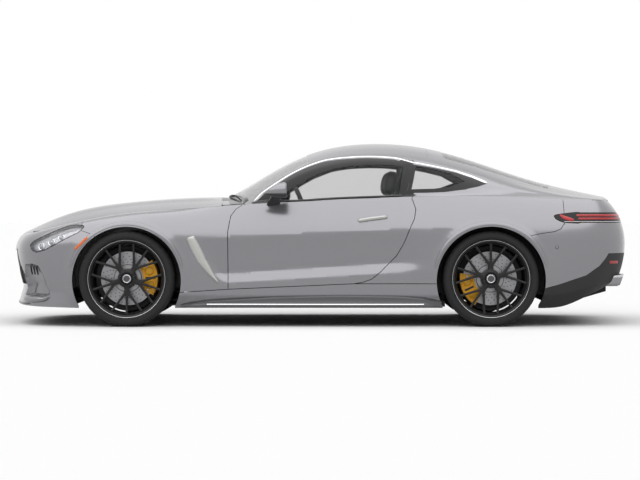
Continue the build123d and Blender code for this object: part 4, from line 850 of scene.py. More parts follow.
# Skins in pairs: piece, region, materials, slot, replaced node, settings of the shell.
PAINTED = [PAINT, INNER]
BODY_SKINS = [
    ("front_fender_skins", "fender", PAINTED, "paint", "front_fenders", {}),
    ("quarter_skins", "quarter", PAINTED, "paint", "quarter_panels", {}),
    ("sill_skins", "sill", PAINTED, "paint", "sills", {}),
    ("front_bumper_skin", "front_bumper", PAINTED, "paint", "front_bumper", {"gap": 2.0}),
    ("rear_bumper_skin", "rear_bumper", PAINTED, "paint", "rear_bumper", {"gap": 2.0}),
    ("diffuser_skin", "diffuser", MATT, "black_trim", "rear_diffuser", {"gap": 1.0}),
    ("headlamp_lenses", "headlamp", LENS, "lamp_clear", "headlamps", {"thickness": 3.0}),
    ("headlamp_bowls", "headlamp", BOWL, "lamp_clear", None, {"thickness": 4.0, "gap": 1.0, "lift": -26.0}),
    ("tail_lamp_housings", "tail_lamp", FRIT, "lamp_red", "tail_lamps", {"thickness": 30.0, "lift": 1.0}),
    ("plate_recess", "plate", PAINT, "paint", None, {"gap": 0.5, "thickness": 4.0, "lift": -11.0}),
    ("roof_skin", "roof", [PAINT, CABIN], "paint", "roof_frame", {"gap": 0.6, "thickness": thin_at_tail}),
    ("pillar_covers", "pillar", FRIT, "black_trim", None, {"gap": 0.6}),
    ("windscreen_glass", "windscreen", GLASS_FRONT, "glass", "windscreen", {"gap": 0.5, "thickness": 5.0}),
    ("grille_wings", "grille_wing", MESH, "black_trim", None, {"gap": 0.3, "thickness": 4.0, "lift": -14.0}),
    ("grille_backing", "grille", MESH, "black_trim", "grille", {"gap": 1.0, "thickness": 4.0, "lift": -78.0}),
]
for name, region, materials, slot, replaced, settings in BODY_SKINS:
    fit(skin(region, **settings), name, materials, slot, *([replaced] if replaced else []))
fit(skin("rear_window", gap=0.6, thickness=4.0), "rear_glass", GLASS_REAR, "glass", "rear_window",
    body_name="tailgate")
fit(skin("tailgate", gap=2.0, thickness=thin_at_tail), "tailgate_skin", PAINTED, "paint", "tailgate",
    body_name="tailgate")
fit_sides(skin("door", back=door_back, mats=(0, 1)), "door_skin", [PAINT, CABIN], "door", "paint", "door")


def pane(region):
    """A clear pane and its dark border."""
    mesh = skin(region + "_clear", gap=0.0, thickness=4.0)
    patch, chosen = regions[region + "_glass"]
    return mesh.shell(*patch.panel(chosen), gap=0.4, thickness=5.0, mats=(1, 1))


fit(pane("quarter"), "quarter_glass", [GLASS_SIDE, FRIT], "glass", "quarter_windows")
fit_sides(pane("door"), "side_glass", [GLASS_SIDE, FRIT], "door", "glass", "door_glass")


def scoop():
    """The corner scoop: a bowl that deepens downwards."""
    line = divided(np.concatenate([outlines["intake"], outlines["intake"][:1]]), FINE_GRID)[:-1]
    middle = line.mean(axis=0)
    outer, inner = [], []
    for size, depth in SCOOP:
        points, normals = body.place(middle + (line - middle) * size)
        deep = depth * np.interp(points[:, 2], [220, 460], [1.3, 0.8])
        outer.append(points - normals * deep[:, None])
        inner.append(points - normals * (deep + 5)[:, None])
    return Mesh().add(loft(outer + inner[::-1], loop=True))


def strip(line, *sizes, **settings):
    """A bead on the lower body."""
    return bead(body, line, *sizes, **settings)


fit(scoop(), "bumper_scoops", PAINT, "paint")
slats = Mesh()
for x in (-2186, -2160, -2134):
    slats.add(strip(side_line([(x, 440), (x + 12, 376)], corner_window), 7.0, -16.0, sink=26.0, step=8.0))
fit(slats, "scoop_slats", FRIT, "black_trim")
lip_line = side_line([(-2222, 200), (-2140, 194), (-2050, 200), (-2008, 218)], corner_window)
fit(Mesh().add(strip(lip_line, [36.0, 48.0, 44.0, 22.0], 26.0, ends=0.12)), "scoop_lips", PAINT, "paint")
splitter = strip(level(0.0, station(-2150, 200), 163), [22.0, 22.0, 16.0], 3.0, ends=0.05)
fit(Mesh().add(splitter), "splitter", BLACK, "black_trim")
lamp_line = np.concatenate([outlines["headlamp"], outlines["headlamp"][:1]])
fit(Mesh().add(strip(lamp_line, 11.0, 1.2, sink=6.0, step=8.0)), "headlamp_gaskets", FRIT, "black_trim")
glow_line = side_line([(-2110, 628), (-2040, 654), (-1950, 692), (-1864, 726), (-1800, 738)], lamp_window)
glow = Mesh().add(strip(glow_line, 10.0, -12.0, sink=30.0, ends=0.1), 0)
for x, z, radius in [(-2088, 596, 26.0), (-2006, 633, 25.0), (-1928, 671, 22.0)]:
    (point,), (normal,) = body.place(side_line([(x, z)], lamp_window))
    ring = [(radius, -34), (radius + 3, -20), (radius, -17), (radius - 4, -20), (radius - 4, -34)]
    glow.add(turned(ring, point, normal, 32), 1)
    r = radius - 5
    dome = [(0.1, -34), (r, -34), (r, -24), (r * 0.7, -16), (r * 0.3, -12.5), (0.1, -12)]
    glow.add(turned(dome, point, normal, 32), 2)
fit(glow, "headlamp_projectors", [LIGHT_STRIP, CHROME, PROJECTOR], "lamp_clear")
flanges, reach, turn = Mesh(), ARCH_RADIUS + 24, np.radians(np.linspace(10, 170, 50))
for axle_x in (FRONT_AXLE_X, REAR_AXLE_X):
    ring = np.stack([axle_x + reach * np.cos(turn), HUB_Z - ARCH_DROP + reach * np.sin(turn)], axis=1)
    flanges.add(strip(side_line(ring), [22.0, 40.0, 42.0, 40.0, 22.0], 7.0, sink=5.0, ends=0.06))
fit(flanges, "arch_flanges", PAINT, "paint")
blade = strip(side_line(FENDER_BLADE), [66.0, 78.0, 74.0, 62.0, 40.0, 12.0], 13.0, sink=8.0, ends=0.03)
fit(Mesh().add(blade), "fender_blades", SATIN, "bright_trim", "fender_vents")
marker = strip(side_line([(-1815, 571), (-1762, 617), (-1711, 669)]), 27.0, 10.0, ends=0.05)
fit(Mesh().add(marker), "side_markers", AMBER, "lamp_red")

start, end = station(1860, 812), face_u - 22
lamps = Mesh().add(strip(level(start + 40, end, 825), 21.0, 5.0, ends=0.02), 0)
lamps.add(strip(level(start + 52, end, 801), 18.0, 5.0, ends=0.02), 0)
corner_line = side_line([(1776, 832), (1806, 812), (1846, 798), (1890, 790)])
lamps.add(strip(corner_line, [18.0, 34.0, 36.0, 14.0], 5.0, ends=0.06), 0)
lamps.add(strip(level(station(1800, 779), end, 779), 6.0, 4.0, ends=0.02), 1)
fit(lamps, "tail_lamp_bars", [RED, CHROME], "lamp_red")
reflect_u = diffuser_uv[-1][0] + 45
reflector = strip(level(reflect_u, reflect_u + 120, 474), 24.0, 3.0, ends=0.04)
fit(Mesh().add(reflector), "rear_reflectors", RED, "lamp_red")
(point,), (normal,) = body.place(side_line([(1752, 590)]))
sensor = Mesh().add(turned([(0.1, 1), (9, 1), (11, 0), (11, -6), (0.1, -6)], point, normal, 24), 0)
sensor.add(turned([(11, -1), (11, 1.2), (13, 1.2), (13, -1)], point, normal, 24), 1)
fit(sensor, "bumper_sensors", [PAINT, FRIT], "paint")


def hood_rear(y):
    """The hood's rear edge, bowed forward at the centre line."""
    return HOOD_REAR_X - 30 * (1 - (y / 800) ** 2)


def hood_shell():
    """The hood, inside the shoulder edge and ahead of the cowl."""
    edge = SHOULDER[SHOULDER[:, 0] < HOOD_REAR_X]
    rear = [(hood_rear(y), y) for y in np.linspace(800, 0, 20) if y < edge[-1, 1]]
    line = [(x, y) for x, y in edge[:, :2]] + rear
    line = divided(np.array(line + [line[0]]), CUT_STEP)
    axes = np.arange(-2270, -740, 26), np.arange(13, 800, 26)
    grid = np.stack(np.meshgrid(*axes, indexing="ij"), axis=-1).reshape(-1, 2)
    clear = np.array([((line - g) ** 2).sum(axis=1).min() > 100 for g in grid]) & inside(grid, line)
    points = np.concatenate([line[:-1], grid[clear]])
    edges = [(i, (i + 1) % (len(line) - 1)) for i in range(len(line) - 1)]
    verts, _, faces = delaunay_2d_cdt([Vector(p) for p in points], edges, [], 1, 0.01, False)[:3]
    x, y = np.array([tuple(p) for p in verts]).T
    faces = np.array([f for f in faces if len(f) == 3])
    slope_x = crown_z(x + 0.5, y) - crown_z(x - 0.5, y)
    slope_y = crown_z(x, y + 0.5) - crown_z(x, np.abs(y - 0.5))
    slope_y[y < 0.6] = 0
    normals = unit(np.stack([-slope_x, -slope_y, np.ones_like(x)], axis=1))
    verts = np.stack([x, y, crown_z(x, y)], axis=1)
    corner = verts[faces]
    turn = np.cross(corner[:, 1] - corner[:, 0], corner[:, 2] - corner[:, 0])
    faces[turn[:, 2] < 0] = faces[turn[:, 2] < 0][:, ::-1]
    return Mesh().shell(verts, normals, faces)


def cowl_cover(y_from, y_to):
    """A strip of the cover between the hood's rear edge and the foot of the windscreen."""
    rings = []
    for y in np.linspace(y_from, y_to, 12):
        x = np.linspace(hood_rear(y) + 6, -636, 7)
        top = np.stack([x, np.full(7, -y), crown_z(x, np.full(7, y)) - 2.0], axis=1)
        rings.append(np.concatenate([top, (top - np.array([0, 0, 6.0]))[::-1]]))
    return loft(rings)


fit(hood_shell(), "hood_skin", PAINTED, "paint", "hood", body_name="hood")
cowl = Mesh().add(cowl_cover(560.0, 774.0), 0).add(cowl_cover(0.0, 559.0), 1)
fit(cowl, "cowl_covers", [PAINT, FRIT], "paint")
bars = Mesh()
for y in np.arange(36, 470, 72.0):
    reach = np.interp(y, [0, 420, 480], [0, 0, 70])
    heights = np.linspace(320 + reach * 1.3, 556 - reach * 1.2, 9)
    points, _ = body.place(face_line([(y, z) for z in heights], nose_window))
    bars.add(sweep(points + np.array([34.0, 0, 0]), rounded(11, 44, 3.0, 12), (-1, 0, 0)), 0)
bars.add(strip(outlines["grille"], 20.0, 3.0, sink=30.0), 1)
fit(bars, "grille_bars", [CHROME, BLACK], "black_trim")

WHEEL_Y = 822.0
LEFT = (0.0, -1.0, 0.0)
# Place, axle, half widths of rim and tyre, turn of the first arm, middle of the caliper.
WHEELS = [
    ("front", FRONT_AXLE_X, 125.5, 147.5, -90.0, 2.0),
    ("rear", REAR_AXLE_X, 130.5, 152.5, 90.0, 205.0),
]
SHIELD = [(70, -66), (150, -70), (230, -66), (243, -58), (245, -61), (233, -70), (150, -74), (70, -70)]
CALIPER_Y = 866.0


def round_hub(axle_x, radius, degrees, y):
    """A point on the left side at a radius and an angle about a wheel's axis."""
    a = math.radians(degrees)
    return axle_x + radius * math.cos(a), -y, HUB_Z + radius * math.sin(a)


def wheel(axle_x, half, turn):
    """A left wheel: barrel, lip, trident arms, hub, cap, bolts and drilled disc."""
    hub, face = (axle_x, -WHEEL_Y, HUB_Z), half - 41
    # Material, segments and profile of barrel, lip, boss, cap, cap ring, disc and disc bell.
    profiles = [
        (0, 96, [
            (279, half - 1), (287, half), (289, half - 3), (289, half - 9), (284, half - 13),
            (268, half - 19), (264, half - 42), (260, 0), (264, 30 - half), (272, 12 - half), (288, 6 - half),
            (288, -half), (278, -half), (262, 16 - half), (255, 40 - half), (253, 0), (254, half - 52),
            (258, half - 24), (270, half - 9)]),
        (1, 96, [
            (284.5, half - 0.5), (287, half + 0.8), (289.6, half - 1), (289.6, half - 7), (287, half - 7)]),
        (0, 60, [
            (0.1, half - 32), (40, half - 32), (45, half - 27), (58, half - 26), (66, half - 31),
            (69, half - 42), (74, 18), (60, 4), (0.1, 4)]),
        (4, 48, [
            (0.1, half - 17), (24, half - 17.5), (33, half - 20), (37, half - 25), (38, half - 31),
            (0.1, half - 31)]),
        (1, 48, [(25, half - 17), (28, half - 16), (31, half - 18.6), (28, half - 21)]),
        (2, 72, [(104, 2), (200, 2), (200, -10), (152, -11), (152, -19), (200, -20), (200, -32), (104, -32)]),
        (2, 60, [(106, 1), (100, 9), (60, 11), (60, -8), (106, -8)]),
    ]
    mesh = Mesh()
    for mat, segments, profile in profiles:
        mesh.add(turned(profile, hub, LEFT, segments), mat)

    def point(radius, degrees, depth):
        return round_hub(axle_x, radius, degrees, WHEEL_Y + depth)

    for angle in turn + 72 * np.arange(5):
        root = [point(r, angle, face) for r in (50, 66, 86, 106, 126)]
        mesh.add(sweep(root, rounded(42, 34, 5.0), LEFT, [1.3, 1.0, 0.94, 1.06, 1.0]), 0)
        for swing in (-25.0, 0.0, 25.0):
            start = np.array(point(112, angle + swing * 0.3, face))
            finish = np.array(point(263, angle + swing, half - 30))
            path = [start + (finish - start) * t for t in (0.0, 0.25, 0.5, 0.75, 1.0)]
            mesh.add(sweep(path, rounded(20, 32, 4.0), LEFT, [1.1, 0.96, 0.86, 0.84, 1.0]), 0)
        nut = point(52, angle + 36, half - 27)
        mesh.add(turned([(0.1, 4), (4, 4), (6, 2), (6, -6), (0.1, -6)], nut, LEFT, 6), 3)
    for k in range(24):
        for i, radius in enumerate((122, 143, 164, 185)):
            hole = point(radius, 15 * k + 5.5 * i, 2)
            mesh.add(turned([(0.1, 0.7), (4.2, 0.7), (4.2, -1), (0.1, -1)], hole, LEFT, 8), 3)
    return mesh


def tyre(axle_x, half):
    """A left tyre with sidewall ribs, tread grooves and cut shoulders."""
    side = [
        (268, half - 60), (288, half - 42), (291.5, half - 26), (293, half - 17), (297, half - 9),
        (301, half - 4.4), (305, half - 2.0), (306, half - 3.2), (316, half - 0.3), (322, half - 0.6),
        (329, half - 2.6), (331, half - 2.0), (336, half - 4.8), (343, half - 12), (349, half - 21),
        (353, half - 34),
    ]
    for middle in (0.6 * half, 0.22 * half):
        side += [(354.4, middle + 7), (347.5, middle + 5), (347.5, middle - 5), (354.6, middle - 7)]
    profile = np.array(side + [(radius, -depth) for radius, depth in reversed(side)])
    count = 168
    angle = np.linspace(0, 2 * math.pi, count, endpoint=False)
    block = (np.abs(profile[:, 1]) > half - 36) & (profile[:, 0] > 342)
    cut = (np.arange(count) % 4 == 0)[:, None] & block[None]
    radius = profile[None, :, 0] - 4.0 * cut
    depth = np.broadcast_to(profile[None, :, 1], radius.shape)
    rings = np.stack([
        axle_x + radius * np.cos(angle)[:, None], -(WHEEL_Y + depth), HUB_Z + radius * np.sin(angle)[:, None],
    ], axis=-1)
    return Mesh().add(loft(rings, loop=True))


def caliper_relief(axle_x, middle):
    """Relief on a left caliper: piston bosses, edge rails, a dark slot and two bolts."""
    def on_face(radius, swing, lift=0.0):
        return round_hub(axle_x, radius, middle + swing, CALIPER_Y + lift)

    mesh = Mesh()
    for swing in (-17, 17):
        boss = [(0.1, 9), (22, 9), (29, 6), (33, 0), (33, -3), (0.1, -3)]
        mesh.add(turned(boss, on_face(173, swing), LEFT, 36), 0)
    for radius in (127, 219):
        rail = [on_face(radius, swing, 3) for swing in np.linspace(-32, 32, 25)]
        mesh.add(sweep(rail, rounded(15, 12, 3.0, 14), LEFT), 0)
    slot = [on_face(radius, 0, 1) for radius in (138, 160, 185, 208)]
    mesh.add(sweep(slot, rounded(15, 6, 4.0, 12), LEFT), 1)
    for swing in (-30, 30):
        mesh.add(turned([(0.1, 8), (7, 8), (9, 5), (9, 0), (0.1, 0)], on_face(173, swing), LEFT, 6), 2)
    return mesh


for place, axle_x, rim_half, tyre_half, turn, middle in WHEELS:
    for side, one in wheel(axle_x, rim_half, turn).sides():
        end = f"{place}_{side}"
        materials = [WHEEL_BLACK, MACHINED, DISC, DARK_STEEL, CAP]
        one.object(f"wheel_{end}_rim", materials, f"wheel_{end}", "wheel_black", [f"rim_{end}"])
    for side, one in tyre(axle_x, tyre_half).sides():
        end = f"{place}_{side}"
        one.object(f"wheel_{end}_tyre", RUBBER, f"wheel_{end}", "tyre", [f"tyre_{end}"], angle=24.0)
    shield = Mesh().add(turned(SHIELD, (axle_x, -WHEEL_Y, HUB_Z), LEFT, 72))
    brake_parts = [
        ("dust_shield", shield, DARK_STEEL, "structure"),
        ("caliper_relief", caliper_relief(axle_x, middle), [CALIPER, MATT, STEEL], "caliper"),
    ]
    for name, mesh, materials, slot in brake_parts:
        for side, one in mesh.sides():
            carrier = f"knuckle_front_{side}" if place == "front" else "body"
            one.object(f"{name}_{place}_{side}", materials, carrier, slot)


def mirror():
    """A door mirror: a drop-shaped painted cap over a dark lower part, glass to the rear, and a dark foot."""
    rows = [
        (-410, 0.06), (-404, 0.18), (-390, 0.36), (-368, 0.56), (-340, 0.75), (-310, 0.89), (-280, 0.98),
        (-262, 1.0), (-250, 0.94), (-245, 0.84), (-249, 0.78),
    ]
    y, z, dark_below = -960, 1012, 986
    rings = [upright(rounded(168 * s, 116 * s, 2.3, 48), x, y, z - 26 * (1 - s)) for x, s in rows]
    verts, faces = loft(rings)
    dark = [np.mean([verts[i][2] for i in f]) < dark_below for f in faces]
    mesh = Mesh()
    for mat in (0, 1):
        mesh.add((verts, [f for f, low in zip(faces, dark) if low == bool(mat)]), mat)
    glass_ring = rounded(126, 78, 3.4, 32)
    rows = [(-262, 0.98), (-250, 0.98), (-249, 0.94)]
    mesh.add(loft([upright(glass_ring * s, x, y, z) for x, s in rows]), 2)
    foot = [(-322, -936, 972), (-330, -908, 952), (-340, -876, 930), (-348, -842, 904)]
    return mesh.add(sweep(foot, rounded(92, 28, 3.0), (0, 0, 1), [0.8, 0.9, 1.0, 1.1]), 1)


fit_sides(mirror(), "mirror_shell", [PAINT, BLACK, MIRROR], "door", "paint", "mirror")
handle_line = side_line([(276, 783), (390, 800), (506, 814)])
# The wide, low dark strip round the handle is painted shade for the handle's recess; the satin bead over it
# is the handle itself.
handle = Mesh().add(strip(handle_line, 44.0, 1.2, ends=0.06), 1)
handle.add(strip(handle_line, 30.0, 20.0, ends=0.1), 0)
fit_sides(handle, "door_handle", [SATIN, FRIT], "door", "paint")
belt = bead(house, [(x, 44) for x in (-520, -300, 0, 300, 618)], 15.0, 5.0, ends=0.01)
fit_sides(Mesh().add(belt), "belt_seal", BLACK, "door", "black_trim")
trim = bead(house, house.locate(WINDOW_TRIM, SIDE_XZ), [12.0, 12.0, 13.0, 13.0, 15.0, 32.0], 4.0, ends=0.02)
fit(Mesh().add(trim), "window_trim", CHROME, "bright_trim")
WIPER = [
    (15.0, [(-701, -70), (-672, -380), (-604, -660)]), (9.0, [(-694, -110), (-650, -330), (-590, -640)]),
]
wipers = Mesh()
for width, line in WIPER:
    wipers.add(bead(house, house.locate(line, PLAN_XY), width, 13.0, sink=0.0, ends=0.04))
fit(wipers, "wipers", MATT, "black_trim")

SKIRT_TOP = [
    (-1035, 158), (-980, 176), (-813, 199), (-282, 227), (180, 237), (586, 230), (760, 216), (900, 186),
]
SKIRT_LOW = 146.0


def skirt():
    """A skirt blade under the sill, with a bright strip along it."""
    x = np.linspace(SKIRT_TOP[0][0], SKIRT_TOP[-1][0], 60)
    top, low = np.interp(x, *np.array(SKIRT_TOP).T), SKIRT_LOW
    edge, _ = body.place(side_line(np.stack([x, top], axis=1)))
    out = -edge[:, 1]
    full = np.minimum(smooth_step(x, x[0], x[0] + 120), 1 - smooth_step(x, x[-1] - 120, x[-1]))
    columns = [
        (out - 34, top - 4), (out - 2, top), (out + 3 + 4 * full, top - 5),
        (out + 5 + 9 * full, top - 14 * full), (out + 4 + 8 * full, low + 26 * full),
        (out + 2 + 16 * full, low + 16 * full), (out + 16 * full, low), (out - 60, low - 4),
        (out - 64, low + 8),
    ]
    rings = np.stack([np.stack([x, -y, np.minimum(z, top)], axis=1) for y, z in columns], axis=1)
    path = np.stack([x, -(out + 3 + 15 * full), np.full_like(x, low + 20)], axis=1)[6:-4]
    return Mesh().add(loft(rings)).add(sweep(path, rounded(9, 12, 3.0, 10), LEFT), 1)


fit(skirt(), "skirt_blades", [SKIRT_GREY, CHROME], "black_trim", "side_skirts")

# Exhaust tips: y, where they start and end.
EXHAUST = [(-516, 2105, 2286), (-652, 2085, 2252)]
EXHAUST_Z = 336
EXHAUST_SLANT = 0.35
tips = Mesh()
for y, x0, x1 in EXHAUST:
    outer, inner = rounded(120, 90, 4.0, 36), rounded(100, 70, 4.0, 36)
    rows = [
        (outer, x0, 0), (outer, x1 - 4, EXHAUST_SLANT), (outer * 0.985, x1, EXHAUST_SLANT),
        (inner, x1, EXHAUST_SLANT), (inner, x0, 0),
    ]
    tips.add(loft([upright(ring, x, y, EXHAUST_Z, slant) for ring, x, slant in rows], loop=True), 0)
    tips.add(loft([upright(inner * 1.04, x, y, EXHAUST_Z) for x in (x0 + 6, x0 + 12)]), 1)
fit(tips, "exhaust_finishers", [TIP_CHROME, MATT], "bright_trim", "exhaust_tips")


def well_liner(axle_x, inner_y, outer_y, radius=424.0, thickness=5.0):
    """A dark rippled lining over a left wheel, with its inner wall."""
    rings = []
    for a in np.radians(np.linspace(-16, 196, 54)):
        ripple, back_y = 3.0 * math.sin(a * 26), inner_y - thickness
        near, far = radius + ripple, radius + thickness + ripple
        section = [
            (near, outer_y), (near, inner_y), (150, inner_y), (150, back_y), (far, back_y), (far, outer_y),
        ]
        arch_z = HUB_Z - ARCH_DROP
        rings.append([(axle_x + q * math.cos(a), -y, arch_z + q * math.sin(a)) for q, y in section])
    return loft(rings)


def undertray(x_from, x_to, rows=30, thickness=5.0):
    """A dark tray between the lower edges of the two sides."""
    foot = BODY_CURVE(np.linspace(0, BODY_LENGTH, 900)).reshape(-1, 4, 3)[:, 3].T
    rings = []
    for x in np.linspace(x_from, x_to, rows):
        y, z = np.interp(x, foot[0], foot[1]) - 6, np.interp(x, foot[0], foot[2]) + 2
        rings.append([(x, -y, z), (x, y, z), (x, y, z + thickness), (x, -y, z + thickness)])
    return loft(rings)


def luggage_lining(inner_y=602):
    """A carpeted wall and ledge inside the left quarter, from the seats to the tail."""
    x = np.linspace(944, 2150, 40)
    edge_y, edge_z = shoulder_at(x)
    ledge = np.minimum(crown_z(x, np.full(40, inner_y)), edge_z + 8) - 16
    out = np.maximum(edge_y - 16, inner_y + 12)
    wall, low = np.full(40, inner_y), np.full(40, 452)
    columns = [
        (wall, low), (wall, ledge - 12), (wall + 8, ledge), (out, edge_z - 16), (out, edge_z - 22),
        (wall + 12, ledge - 10), (wall + 6, low),
    ]
    return loft(np.stack([np.stack([x, -y, z], axis=1) for y, z in columns], axis=1))


fit(Mesh().add(well_liner(REAR_AXLE_X, 646.0, 930.0)), "rear_wheel_liners", MATT, "black_trim")
trays = Mesh().add(undertray(-2336, -1872)).add(undertray(1762, 2207))
# A diffuser fin: x, height of its root, drop.
FIN = [(1800, 152, 6), (1900, 182, 26), (2020, 234, 46), (2120, 276, 58), (2196, 292, 52)]
for y in (-330, -200, -70, 70, 200, 330):
    rings = [[(x, y - 4, z), (x, y + 4, z), (x, y + 3, z - drop), (x, y - 3, z - drop)] for x, z, drop in FIN]
    trays.add(loft(rings))
trays.object("undertrays", MATT, "body", "black_trim")
fit(Mesh().add(luggage_lining()), "luggage_linings", CARPET, "cabin_trim")


def prism(centre, width, height, x_from, x_to, lean=0.0):
    """A rounded bar along X with eased ends, leaned about its own axis."""
    flat = rounded(width, height, 4.0, 40)
    across = flat[:, 0] * math.cos(lean) - flat[:, 1] * math.sin(lean)
    over = flat[:, 0] * math.sin(lean) + flat[:, 1] * math.cos(lean)
    ring = np.stack([across, over], axis=1)
    ends = [(0, 0.86), (5, 0.95), (16, 1.0)]
    rows = [(x_from + x, size) for x, size in ends] + [(x_to - x, size) for x, size in ends[::-1]]
    return loft([upright(ring * size, x, *centre) for x, size in rows])


def engine():
    """The engine: block, two leaning cam covers with bolts, a ribbed middle cover and front pulleys."""
    mesh = Mesh().add(prism((0, 395), 520, 340, -1566, -895), 0)
    bolt = [(0.1, 8), (6, 8), (9, 4), (9, -14), (0.1, -14)]
    for side in (-1, 1):
        mesh.add(prism((side * 218, 610), 210, 200, -1545, -925, -0.4 * side), 1)
        mesh.add(prism((side * 300, 430), 90, 120, -1500, -960), 0)
        for x in np.linspace(-1500, -970, 9):
            mesh.add(turned(bolt, (x, side * 262, 716), (0, side * 0.4, 1), 12), 2)
    mesh.add(prism((0, 715), 270, 110, -1510, -950), 1)
    for x in np.linspace(-1480, -1000, 11):
        mesh.add(prism((0, 722), 282, 118, x, x + 34), 3)
    for y, z, r in ((0, 390, 96), (-165, 540, 62), (160, 520, 70), (20, 600, 44)):
        pulley = [
            (0.1, 34), (r * 0.4, 34), (r * 0.5, 22), (r * 0.85, 22), (r, 34), (r - 5, 20), (r, 6), (0.1, 0),
        ]
        mesh.add(turned(pulley, (-1567, y, z), (-1, 0, 0), 40), 2)
    return mesh


HOSE = [(-1440, 60, 735), (-1560, 130, 728), (-1680, 240, 690), (-1780, 300, 630), (-1860, 320, 560)]


def bay_fittings():
    """Two clamped hoses, a tank with its cap, a battery with its posts, and a brace across the bay."""
    mesh, tube, up = Mesh(), rounded(74, 74, 2.0, 20), (0, 0, 1)
    for side in (-1, 1):
        path = Spline(range(5), [(x, y * side, z) for x, y, z in HOSE])(np.linspace(0, 4, 30))
        mesh.add(sweep(path, tube, (0.05, 0, 1)), 0)
        for k in (5, 24):
            mesh.add(sweep(path[k:k + 2], tube * 1.1, (0.05, 0, 1)), 1)
    mesh.add(lump((-1010, -520, 760), (105, 62, 66), 5.0, 20, 32), 2)
    mesh.add(turned([(0.1, 26), (20, 26), (24, 20), (24, 0), (0.1, 0)], (-1010, -520, 822), up, 24), 0)
    mesh.add(lump((-1000, 520, 740), (130, 74, 90), 7.0, 20, 32), 0)
    for x in (-1070, -930):
        mesh.add(turned([(0.1, 18), (9, 18), (10, 0), (0.1, 0)], (x, 520, 824), up, 16), 1)
    brace = [(-1160, y, 838 - 40 * (y / 520) ** 2) for y in np.linspace(-520, 520, 15)]
    return mesh.add(sweep(brace, rounded(44, 18, 4.0, 16), up), 3)


engine().object("engine", [CAST, MATT, STEEL, BLACK], "body", "engine", ["engine_block"])
bay_fittings().object("bay_fittings", [MATT, STEEL, TANK, SATIN], "body", "engine")


def arm(points, depth=30.0, up=(0.03, 1, 0.02)):
    """A hinge arm bent along its points."""
    return sweep(divided(np.array(points, float), 18.0), rounded(16, depth, 5.0, 12), up)


hood_arm = arm([(-716, -600, 806), (-787, -600, 806), (-787, -600, 908)])
fit(Mesh().add(hood_arm), "hood_hinge_arms", STRUCTURE, "structure", body_name="hood")
tailgate_arm = arm([(736, -170, 1308), (736, -170, 1217), (864, -170, 1217), (864, -170, 1318)])
fit(Mesh().add(tailgate_arm), "tailgate_hinge_arms", STRUCTURE, "structure", body_name="tailgate")
straps = Mesh()
for z in (400, 680):
    straps.add(arm([(-764, -882, z), (-764, -816, z), (-640, -816, z)], 34.0, (0.02, 0.03, 1)))
fit_sides(straps, "door_hinge_arm", STRUCTURE, "door", "structure")


def leaned(mesh, centre, degrees):
    """A mesh turned about a cross axis through a point, its top towards the rear."""
    a = math.radians(degrees)
    points = np.asarray(mesh[0], float) - centre
    x = points[:, 0] * math.cos(a) + points[:, 2] * math.sin(a)
    z = -points[:, 0] * math.sin(a) + points[:, 2] * math.cos(a)
    return np.stack([x, points[:, 1], z], axis=1) + centre, mesh[1]


def cushion(centre, half, lean=0.0, channels=0, along=0, power=3.2, crown=0.12):
    """A crowned pad whose sides pull in between its corners, with sewn channels across its face."""
    verts, faces = lump((0, 0, 0), (1, 1, 1), power, 34, 56)
    face = 2 if half[2] < half[0] else 0
    others = [i for i in range(3) if i != face]
    swell = np.prod(1 - np.clip(verts[:, others], -1, 1) ** 2, axis=1)
    verts = verts.copy()
    verts[:, face] *= 1 - crown + 2 * crown * swell
    for i, k in (others, others[::-1]):
        verts[:, i] *= 1 - 0.05 * (1 - np.abs(verts[:, k])) * (np.abs(verts[:, i]) > 0.6)
    if channels:
        lines = np.linspace(-0.66, 0.66, channels)
        groove = sum(bump(verts[:, along], line, 0.045) for line in lines) * (swell > 0.02)
        verts[:, face] *= 1 - 0.09 * groove
    centre = np.asarray(centre, float)
    return leaned((verts * np.asarray(half, float) + centre, faces), centre, lean)


# Pads of a front seat: x, offset across, height, half sizes, lean, channels and the axis they follow.
SEAT_PADS = [
    (215, 0, 386, (270, 172, 66), -4.0, 5, 0), (235, -196, 408, (238, 42, 70), -4.0, 0, 0),
    (235, 196, 408, (238, 42, 70), -4.0, 0, 0), (478, 0, 690, (62, 165, 262), 13.0, 6, 2),
    (455, -186, 650, (74, 46, 220), 13.0, 0, 0), (455, 186, 650, (74, 46, 220), 13.0, 0, 0),
    (528, 0, 900, (56, 196, 84), 13.0, 0, 0), (540, 0, 1070, (48, 118, 94), 10.0, 0, 0),
]
for side, y in (("left", -370.0), ("right", 370.0)):
    pads = Mesh()
    for x, offset, z, *shape in SEAT_PADS:
        pads.add(cushion((x, y + offset, z), *shape), 0)
    pads.add(lump((520, y, 690), (58, 190, 255), 4.0), 1).add(lump((230, y, 332), (255, 190, 40), 5.0), 1)
    name, replaced = f"sports_seat_{side}", [f"seat_{side}"]
    seat = pads.object(name, [LEATHER, CABIN], "body", "leather", replaced, angle=60.0)
bench = Mesh()
for y in (-360.0, 360.0):
    bench.add(cushion((775, y, 380), (128, 188, 66), -6.0, 3, 0))
    bench.add(cushion((908, y, 620), (48, 186, 205), 14.0, 4, 2))
bench.add(lump((790, 0, 300), (140, 545, 70), 5.0))
bench.object("rear_bench", LEATHER, "body", "leather", ["rear_seats"], angle=60.0)

